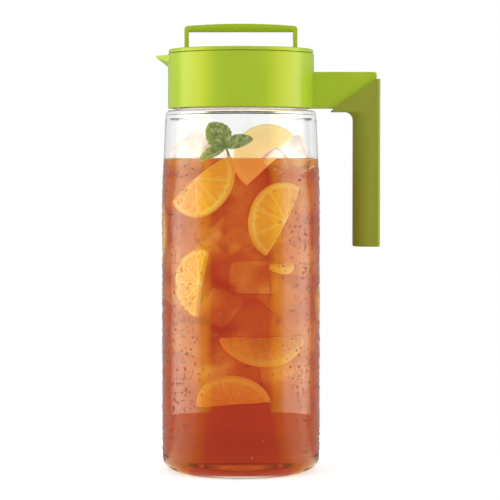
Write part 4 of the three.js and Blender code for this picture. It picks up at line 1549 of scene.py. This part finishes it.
def mint_material():
    """Blotched green and painted highlights, with a rib and slanting veins drawn on the leaf's own UV map.
    """
    material, nodes = new_material("mint")
    split = node(nodes, "SeparateXYZ", node(nodes, "UVMap", uv_map="leaf").outputs["UV"]).outputs
    side = maths(nodes, "ABSOLUTE", split["Y"])
    slant = maths(nodes, "MULTIPLY_ADD", side, -0.35, split["X"])
    fold = maths(nodes, "PINGPONG", maths(nodes, "MULTIPLY", slant, VEINS_PER_SIDE), 0.5)
    line = ramp(nodes, fold, [(0.0, grey(1.0)), (0.14, grey(0.0))])
    rib = ramp(nodes, side, [(0.0, grey(1.0)), (0.1, grey(0.0))])
    lines = maths(nodes, "MAXIMUM", line, rib)
    # The palest blotches are partly the leaf's own mottling and partly painted highlights.
    blotch_and_sheen = noise(nodes, object_coords(nodes), Scale=330.0, Detail=5.0, Roughness=0.65)
    green = ramp(nodes, blotch_and_sheen, [
        (0.36, (0.12, 0.19, 0.015)), (0.5, (0.26, 0.34, 0.04)), (0.64, (0.58, 0.6, 0.22)),
    ])
    veined = blended(nodes, "MIX", lines, green, VEIN_COLOUR)
    relief = node(nodes, "Bump", Strength=0.7, Distance=0.0008, Height=lines)
    # The emission is a painted glow that lightens the leaves.
    feed(
        nodes["Principled BSDF"], Base_Color=veined, Emission_Color=veined, Emission_Strength=0.3,
        Roughness=0.6, Specular_IOR_Level=0.25, Normal=relief.outputs["Normal"],
    )
    return material


mint = mint_material()
for piece in (*leaves, stem):
    coat(piece, mint)
print(len(leaves), "mint leaves")

# %% [markdown]
# ## Beads of water
#
# Cold drinks gather dew. A few thousand small beads sit on the outside of the wall below the level
# of the drink, thickest at the sides. Each bead is a low-poly ball, flattened against the wall and
# scattered by a seeded random stream. Its rim is painted a little darker, painted shade for the
# dark room that a bead bends into view, because a bead this small is seen mostly by its darker edge.

# %% Scatter the beads
BEAD_SEED = 21
BEAD_COUNT = 3800
BEAD_LOW = 14.0
BEAD_HIGH = 206.0
BEAD_SMALLEST = 0.36
BEAD_SPREAD = 0.4
FRONT_SHARE = 0.12


def make_beads():
    """One ball, copied into place many times, and the copies read into one mesh."""
    rng = random.Random(BEAD_SEED)
    ball = bmesh.new()
    bmesh.ops.create_uvsphere(ball, u_segments=7, v_segments=4, radius=MM)
    ball_mesh = bpy.data.meshes.new("bead")
    ball.to_mesh(ball_mesh)
    ball.free()
    bm = bmesh.new()
    count = 0
    while count < BEAD_COUNT:
        angle = rng.uniform(0, math.tau)
        height = rng.uniform(BEAD_LOW, BEAD_HIGH)
        if rng.random() > FRONT_SHARE + (1 - FRONT_SHARE) * abs(math.sin(angle)) ** 3:
            continue
        size = BEAD_SMALLEST + BEAD_SPREAD * rng.random() ** 2
        shape = Matrix.Diagonal((size, size * 0.75, size * rng.uniform(1.0, 1.35), 1))
        out = radius_at(outer_taper, height) + 0.1 * size
        seat = Matrix.Translation((0, -out * MM, height * MM))
        bead = ball_mesh.copy()
        bead.transform(Matrix.Rotation(angle, 4, "Z") @ seat @ shape)
        bm.from_mesh(bead)
        bpy.data.meshes.remove(bead)
        count += 1
    bpy.data.meshes.remove(ball_mesh)
    return finish_mesh(bm, "water_beads", math.radians(80))


beads = place(make_beads(), "pitcher")

# %% Water
WATER_IOR = 1.33


def bead_material():
    material, nodes = new_material("water_beads")
    film = noise(nodes, object_coords(nodes), Scale=900.0, Detail=2.0)
    tint = ramp(nodes, film, [(0.3, (0.93, 0.94, 0.95)), (0.7, (0.99, 0.99, 1.0))])
    edge = node(nodes, "LayerWeight", Blend=0.5).outputs["Facing"]
    # The dark rim is painted shade for the dark room that a bead bends into view.
    rim = ramp(nodes, edge, [(0.08, WHITE[:3]), (0.5, (0.42, 0.33, 0.3))])
    feed(
        nodes["Principled BSDF"], IOR=WATER_IOR, Roughness=0.02, Transmission_Weight=1.0,
        Base_Color=blended(nodes, "MULTIPLY", 1.0, tint, rim),
    )
    let_lamps_through(nodes)
    return material


coat(beads, bead_material())
print(BEAD_COUNT, "beads")
